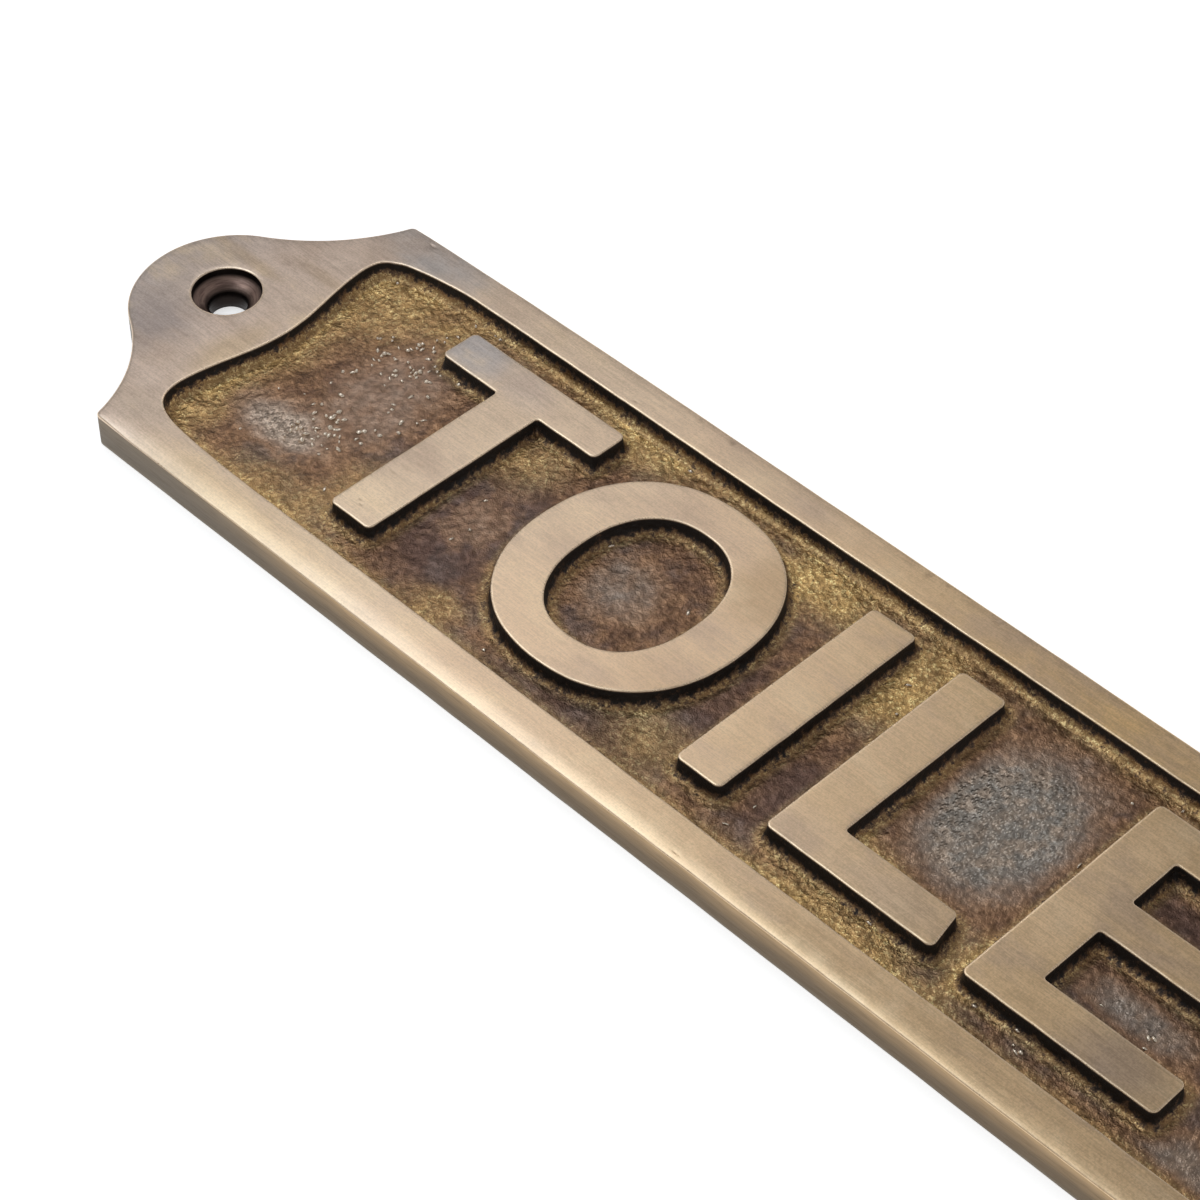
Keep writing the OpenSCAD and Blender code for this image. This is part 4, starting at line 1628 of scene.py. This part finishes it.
@dataclass
class SignCasting:
    """The whole sign: one casting with its outline, recess, letters and screw holes."""

    edge: PlateEdge = field(default_factory=PlateEdge)  # the outline
    recess: RecessEdge = field(default_factory=RecessEdge)  # the sunk panel's edge
    word: Word = field(default_factory=Word)  # the raised word
    holes: tuple[ScrewHole, ...] = (ScrewHole(-100.0), ScrewHole(100.0))  # the screw holes
    floor_spacing: float = 0.4  # distance between the floor's points, in mm
    top_spacing: float = 0.95  # distance between the points of the dressed tops, in mm
    back_spacing: float = 2.6  # distance between the back's points, in mm
    back_gold: float = 0.35  # how much olive gold shows on the back, 0 to 1
    back_wall: float = 0.12  # how dark the back's patina is, 0 to 1
    # distances from the near edge, in mm, of the closer rows of points on its rolled top
    rolled_rows: tuple[float, ...] = (0.8, 1.02, 1.28, 1.6, 2.0, 2.5)
    row_spacing: float = 0.8  # distance between the points of such a row, in mm
    row_end: float = 93.0  # how far from the middle such a row ends, in mm
    wander: HandWobble = HandWobble(1.2, 51, (3.0, 6.0, 11.0))  # how the patches' borders wander, in mm
    rim_gold: Fade = Fade(1.0, 0.2, 0.9, 1.5)  # the olive gold beside the recess's wall
    word_gold: Fade = Fade(0.75, 0.35, 0.5, 2.0)  # the olive gold beside the letters
    band_gold: tuple[float, float] = (0.55, 0.25)  # how much gold these two give, and how much less on umber
    rim_dark: Fade = Fade(0.12, 0.0, 0.5, 1.3)  # the dark patina and painted shade at the foot of the recess's wall
    word_dark: Fade = Fade(0.3, 0.0, 0.6, 1.3)  # the dark patina and painted shade at the letters' feet
    bare_gap: Fade = Fade(1.0, 0.0, 1.2, 2.0)  # how a grey patch keeps away from the walls
    steel: tuple[Patch, ...] = (  # grey patches of the floor
        Patch(-75.5, 2.5, 7.5, 11.5, 0.42), Patch(-80.5, -9.2, 6.5, 3.2, 0.8), Patch(-53.8, -3.6, 5.0, 6.5, 0.3),
        Patch(-35.5, -0.3, 5.8, 5.4, 0.54), Patch(13.4, 4.0, 8.8, 11.5, 1.0), Patch(38.5, -5.4, 8.0, 3.6, 0.62),
        Patch(76.0, 2.0, 8.0, 9.0, 0.7), Patch(52.0, -15.5, 7.0, 3.0, 0.6),
    )
    grit: tuple[Patch, ...] = (  # patches where grit stands out of it
        Patch(-76.6, 3.0, 6.0, 10.0, 1.0), Patch(-75.0, -6.0, 4.0, 5.0, 0.45), Patch(-81.5, -5.0, 2.5, 4.5, 0.4),
        Patch(-53.5, -4.0, 2.6, 3.5, 0.4), Patch(-35.5, -0.5, 4.5, 4.0, 0.12), Patch(14.0, 2.0, 6.5, 8.0, 0.05),
        Patch(38.0, -5.4, 7.0, 2.0, 0.4),
        Patch(60.0, -2.0, 9.0, 9.0, 0.3), Patch(30.0, -16.0, 12.0, 2.0, 0.25), Patch(-68.0, -14.0, 3.0, 3.0, 0.2),
    )
    gold: tuple[Patch, ...] = (  # olive gold patches of the floor
        Patch(-86.5, 13.5, 6.0, 6.5, 0.8), Patch(-88.5, -12.0, 3.0, 5.0, 0.8), Patch(-77.5, 14.5, 4.0, 3.0, 0.8),
        Patch(-5.0, 11.0, 3.5, 6.5, 1.5), Patch(-48.0, 17.0, 8.0, 3.0, 0.7), Patch(10.0, -17.0, 10.0, 2.4, 0.8),
        Patch(-56.0, 6.0, 4.0, 4.0, 0.6), Patch(24.0, -12.0, 3.0, 5.0, 0.7), Patch(7.0, -7.5, 4.0, 1.5, 0.6),
        Patch(-68.0, -10.0, 2.5, 5.0, 0.35), Patch(-48.0, -15.5, 4.0, 2.0, 0.5), Patch(-19.0, -13.5, 5.0, 4.0, 0.5),
        Patch(-21.0, 15.0, 6.0, 3.5, 1.2), Patch(-88.5, 1.0, 3.0, 8.0, 0.5), Patch(-72.0, -16.0, 8.0, 3.0, 0.45),
    )
    umber: tuple[Patch, ...] = (  # dark brown patches of the floor
        Patch(-76.0, 3.0, 6.0, 10.0, 0.85), Patch(-54.0, -5.0, 7.0, 12.0, 1.1), Patch(-24.0, -15.5, 11.0, 4.0, 0.95),
        Patch(-17.5, -4.0, 3.0, 11.0, 0.7), Patch(-4.0, -8.0, 3.4, 7.0, 0.85), Patch(-45.0, 16.5, 7.0, 2.4, 0.5),
        Patch(36.0, -6.0, 10.0, 5.0, 0.7), Patch(36.0, 7.0, 10.0, 3.0, 0.8), Patch(-66.5, -6.0, 3.5, 7.0, 0.35),
        Patch(-36.0, -18.0, 11.0, 2.0, 0.6), Patch(60.0, 0.0, 9.0, 13.0, 0.7), Patch(86.0, 2.0, 4.0, 12.0, 0.4),
        Patch(6.0, 18.0, 12.0, 1.6, 0.5), Patch(-33.5, 6.0, 6.0, 3.0, 0.4), Patch(28.0, -17.5, 8.0, 1.6, 0.5),
    )

    def _tops(self, z: float) -> Rise:
        """The heights and stains of a dressed top at height z.

        Args:
            z: The top's height.

        Returns:
            A function that gives heights and layers.
        """
        def rise(plan: np.ndarray) -> tuple[np.ndarray, Layers]:
            """Each mark presses the surface in and stains it.

            Args:
                plan: The points' x and y.

            Returns:
                Their heights and layers.
            """
            deep, stain = np.zeros(len(plan)), np.zeros(len(plan))
            for mark in MARKS:
                share = mark.share(plan)
                deep += mark.deep * share
                stain = np.maximum(stain, mark.strength * share)
            return z - deep, {"stain": stain}
        return rise

    def _crown(self, outline: np.ndarray, near_share: np.ndarray, z: float) -> Rise:
        """The heights of the border's top, which rolls down towards the near edge.

        Args:
            outline: The outline's points.
            near_share: How far each of them belongs to the near edge.
            z: Height of the face.

        Returns:
            A function that gives heights and layers.
        """
        near, tops, edge = Nearest(outline), self._tops(z), self.edge

        def rise(plan: np.ndarray) -> tuple[np.ndarray, Layers]:
            """The crown, the marks and the painted highlight beside the rolled outer edge.

            Args:
                plan: The points' x and y.

            Returns:
                Their heights and layers.
            """
            heights, layers = tops(plan)
            away, rolled = near.away(plan), near_share[near.which(plan)]
            # Paints a highlight on the top beside the rolled near edge.
            layers["rim"] = rolled * edge.ridge_highlight.beyond(away)
            return heights - edge.fall(away) * rolled - edge.crisp.beyond(away) * (1 - rolled), layers
        return rise

    def _closer_rows(self) -> np.ndarray:
        """Closer points along the near edge, where its top rolls down.

        Returns:
            Rows of x and y.
        """
        along = np.arange(-self.row_end, self.row_end, self.row_spacing)
        return np.vstack([
            np.column_stack([along + self.row_spacing / 2 * (i % 2), np.full(len(along), away - self.edge.half_w)])
            for i, away in enumerate(self.rolled_rows)])

    def _floor(self, recess_foot: np.ndarray, letter_feet: np.ndarray) -> Rise:
        """The floor's heights and patina, from the distance to the nearest wall's foot.

        Args:
            recess_foot: Points of the foot of the recess's wall.
            letter_feet: Points of the feet of the letters' walls.

        Returns:
            A function that gives heights and layers.
        """
        rim, words = Nearest(recess_foot), Nearest(letter_feet)

        def rise(plan: np.ndarray) -> tuple[np.ndarray, Layers]:
            """The floor at its height, with its patina by place.

            Args:
                plan: The points' x and y.

            Returns:
                Their heights and layers.
            """
            from_rim, from_word = rim.away(plan), words.away(plan)
            moved = plan + self.wander.at(plan)
            steel, grit, umber, gold = (np.clip(sum(patch.at(moved) for patch in patches), 0, 1)
                                        for patches in (self.steel, self.grit, self.umber, self.gold))
            band = self.rim_gold.beyond(from_rim) + self.word_gold.about(from_word)
            band *= self.band_gold[0] - self.band_gold[1] * umber
            return np.full(len(plan), self.recess.floor_z), {
                "rough": 1.0, "grit": grit, "stain": umber,
                "wall": np.maximum(self.rim_dark.beyond(from_rim), self.word_dark.beyond(from_word)),
                "steel": steel * (1 - self.bare_gap.beyond(np.minimum(from_rim, from_word))),
                "gold": np.clip(gold * (1 - 0.7 * steel) + band, 0, 1)}
        return rise

    def _back(self, plan: np.ndarray) -> tuple[np.ndarray, Layers]:
        """The back's heights and layers."""
        return np.zeros(len(plan)), {"gold": self.back_gold, "wall": self.back_wall}

    def _letter(self, mesh: CastingMesh, letter: Letter, marks: np.ndarray) -> np.ndarray:
        """Builds one letter.

        Args:
            mesh: The mesh to build in.
            letter: The letter.
            marks: The points that the marks need.

        Returns:
            The indices of its foot's points.
        """
        top, foot = mesh.section(letter.outside, letter.steps(1))
        borders = [top]
        if letter.hole is not None:
            hole_top, hole_foot = mesh.section(letter.hole, letter.steps(-1), inwards=True)
            borders.append(hole_top)
            foot_plan = mesh.plan_of(hole_foot)
            floor = self._floor(foot_plan + FAR_OFF, foot_plan)
            mesh.sheet([hole_foot], self.floor_spacing, Finish.CAST, floor, seed=5)
        mesh.sheet(borders, self.top_spacing, Finish.DRESSED, self._tops(letter.top_z), extra=marks, seed=3)
        LOG.info("letter %s: %d points round", letter.name, len(top))
        return foot

    def build(self, finishes: Finishes) -> bpy.types.Object:
        """Builds the casting.

        Args:
            finishes: The material of each finish.

        Returns:
            The finished piece.
        """
        mesh = CastingMesh()
        outline = self.edge.loop()
        near_share = self.edge.near_share(outline)
        face_edge, back_edge = mesh.section(outline, self.edge.steps(), others=self.edge.rolled_steps(),
                                            share=near_share)
        LOG.info("outline: %d points round, %d rings", len(outline.points), len(self.edge.steps()))
        recess_top, recess_foot = mesh.section(self.recess.loop(), self.recess.steps(), inwards=True)
        LOG.info("recess: %d points round", len(recess_top))
        holes = [mesh.section(hole.loop(), hole.steps(), inwards=True) for hole in self.holes]
        LOG.info("screw holes: %d", len(holes))
        marks = np.vstack([mark.points() for mark in MARKS])
        feet = [self._letter(mesh, letter, marks) for letter in self.word.letters()]
        floor = self._floor(mesh.plan_of(recess_foot), np.vstack([mesh.plan_of(ring) for ring in feet]))
        mesh.sheet([recess_foot, *feet], self.floor_spacing, Finish.CAST, floor, seed=9)
        crown = self._crown(outline.ring(0.0), near_share, self.edge.thick)
        mesh.sheet([face_edge, recess_top, *(top for top, _ in holes)], self.top_spacing, Finish.DRESSED, crown,
                   extra=np.vstack([marks, self._closer_rows()]), seed=13)
        mesh.sheet([back_edge, *(back for _, back in holes)], self.back_spacing, Finish.CAST, self._back,
                   flip=True, seed=17)
        piece = SandSurface().apply(mesh.build("sign_casting"), finishes)
        count = sum(len(p.vertices) - 2 for p in piece.data.polygons)
        LOG.info("sign_casting: %d points, %d triangles", len(piece.data.vertices), count)
        return piece


# ---------------- the studio


@dataclass(frozen=True)
class Softbox:
    """A rectangular softbox that faces the sign."""

    name: str  # its name
    azimuth: float  # its direction from the sign, in degrees from +X towards +Y
    elevation: float  # its direction above the floor, in degrees
    distance: float  # its distance in metres
    size: tuple[float, float]  # its width and height in metres
    radiance: float  # how bright its face is, where 1 is white
    colour: Colour = (1.0, 1.0, 1.0)  # its colour

    def build(self) -> bpy.types.Object:
        """Makes the light.

        Returns:
            The light's object.
        """
        data = bpy.data.lights.new(self.name, "AREA")
        data.shape = "RECTANGLE"
        data.size, data.size_y = self.size
        data.energy = self.radiance * math.pi * self.size[0] * self.size[1]
        data.color = self.colour
        made = link(bpy.data.objects.new(self.name, data))
        a, e = math.radians(self.azimuth), math.radians(self.elevation)
        way = Vector((math.cos(a) * math.cos(e), math.sin(a) * math.cos(e), math.sin(e)))
        made.location = way * self.distance
        made.rotation_mode = "QUATERNION"
        made.rotation_quaternion = way.to_track_quat("Z", "Y")
        return made


@dataclass(frozen=True)
class Studio:
    """The floor, the lights, the world and the camera."""

    camera_at: tuple[float, float, float] = (0.141270, -0.177425, 0.256306)  # the camera's place in metres
    camera_turn: tuple[tuple[float, float, float], ...] = (  # its matrix of rotation, row by row
        (0.700757753, -0.509636968, 0.499208105),
        (0.713399094, 0.500064799, -0.490914381),
        (0.000551715976, 0.700146669, 0.713998836))
    focal_px: float = 3390.93  # its focal length in pixels of the photograph
    picture_px: float = 1200.0  # width of the photograph in pixels
    sensor_mm: float = 36.0  # width of the camera's sensor
    view_from: float = 0.01  # the nearest thing that the camera shows, in metres
    view_to: float = 20.0  # the furthest thing that it shows, in metres
    floor_half: float = 3.0  # half the floor's width in metres
    floor_z: float = -0.00002  # its height in metres, just under the sign
    floor_grey: float = 0.9  # how pale the floor is, 0 to 1
    floor_glow: float = 0.62  # how much paler the camera and reflections see it
    horizon: float = 0.12  # the height, as a part of 1, below which the world is white
    overhead: float = 0.45  # the height above which it is dim
    dim: float = 0.38  # how bright it is there
    softboxes: tuple[Softbox, ...] = (  # the lights
        Softbox("strip", 143.6, 46.1, 0.74, (0.30, 0.10), 2.0),
        Softbox("front", 186.0, 59.5, 0.75, (0.5, 0.34), 1.82, (0.91, 1.02, 1.1)))

    def camera(self) -> bpy.types.Object:
        """Makes the camera at the photograph's place and angle.

        Returns:
            The camera's object.
        """
        data = bpy.data.cameras.new("camera")
        data.sensor_fit = "HORIZONTAL"
        data.sensor_width = self.sensor_mm
        data.lens = self.focal_px / self.picture_px * self.sensor_mm
        data.clip_start, data.clip_end = self.view_from, self.view_to
        made = link(bpy.data.objects.new("camera", data))
        made.matrix_world = Matrix.Translation(self.camera_at) @ Matrix(self.camera_turn).to_4x4()
        bpy.context.scene.camera = made
        return made

    def floor(self) -> bpy.types.Object:
        """Makes the plain pale floor, which keeps the sign's shadow.

        Returns:
            The floor's object.
        """
        mesh = bpy.data.meshes.new("floor")
        grid = bmesh.new()
        bmesh.ops.create_grid(grid, x_segments=8, y_segments=8, size=self.floor_half)
        grid.to_mesh(mesh)
        grid.free()
        made = link(bpy.data.objects.new("floor", mesh))
        made.location.z = self.floor_z
        material = bpy.data.materials.new("pale_floor")
        material.use_nodes = True
        material.node_tree.nodes.clear()
        w = Wiring(material.node_tree)
        rays = w.node("ShaderNodeLightPath").outputs
        seen = w.math("MAXIMUM", w.math("MAXIMUM", rays["Is Camera Ray"], rays["Is Glossy Ray"]),
                      rays["Is Transmission Ray"])
        matt = w.value("ShaderNodeBsdfDiffuse", 0, {"Color": (*[self.floor_grey] * 3, 1.0)})
        glow = w.value("ShaderNodeEmission", 0, {"Strength": seen * self.floor_glow})
        w.node("ShaderNodeOutputMaterial", {"Surface": w.value("ShaderNodeAddShader", 0, {0: matt, 1: glow})})
        made.data.materials.append(material)
        return made

    def world(self) -> None:
        """Makes the world: white at the horizon and dimmer overhead."""
        world = bpy.data.worlds.new("studio")
        bpy.context.scene.world = world
        world.use_nodes = True
        w = Wiring(world.node_tree)
        way = w.node("ShaderNodeTexCoord").outputs["Generated"]
        level = w.value("ShaderNodeSeparateXYZ", "Z", {0: way}).spread(self.horizon, self.overhead, 1.0, self.dim)
        background = world.node_tree.nodes["Background"].inputs
        w.feed(background["Strength"], level)
        w.feed(background["Color"], (1.0, 1.0, 1.0, 1.0))

    def build(self) -> None:
        """Makes the whole studio."""
        self.camera()
        self.floor()
        self.world()
        for softbox in self.softboxes:
            softbox.build()
        LOG.info("studio: camera lens %.1f mm", bpy.context.scene.camera.data.lens)


def main() -> None:
    """Builds the sign and its studio, attaches the sign to its body and hides the CAD part."""
    logging.basicConfig(level=logging.INFO, format="%(name)s: %(message)s")
    bpy.context.scene.view_settings.view_transform = "Standard"
    finishes = {
        Finish.DRESSED: DressedBrass().build(),
        Finish.CAST: SandCast().build(),
        Finish.FILED: FiledBrass().build(),
        Finish.DRILLED: DrilledBrass().build(),
    }
    casting = SignCasting().build(finishes)
    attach(casting, BODY)
    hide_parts(CAD_NODE)
    Studio().build()


if __name__ == "__main__":
    main()
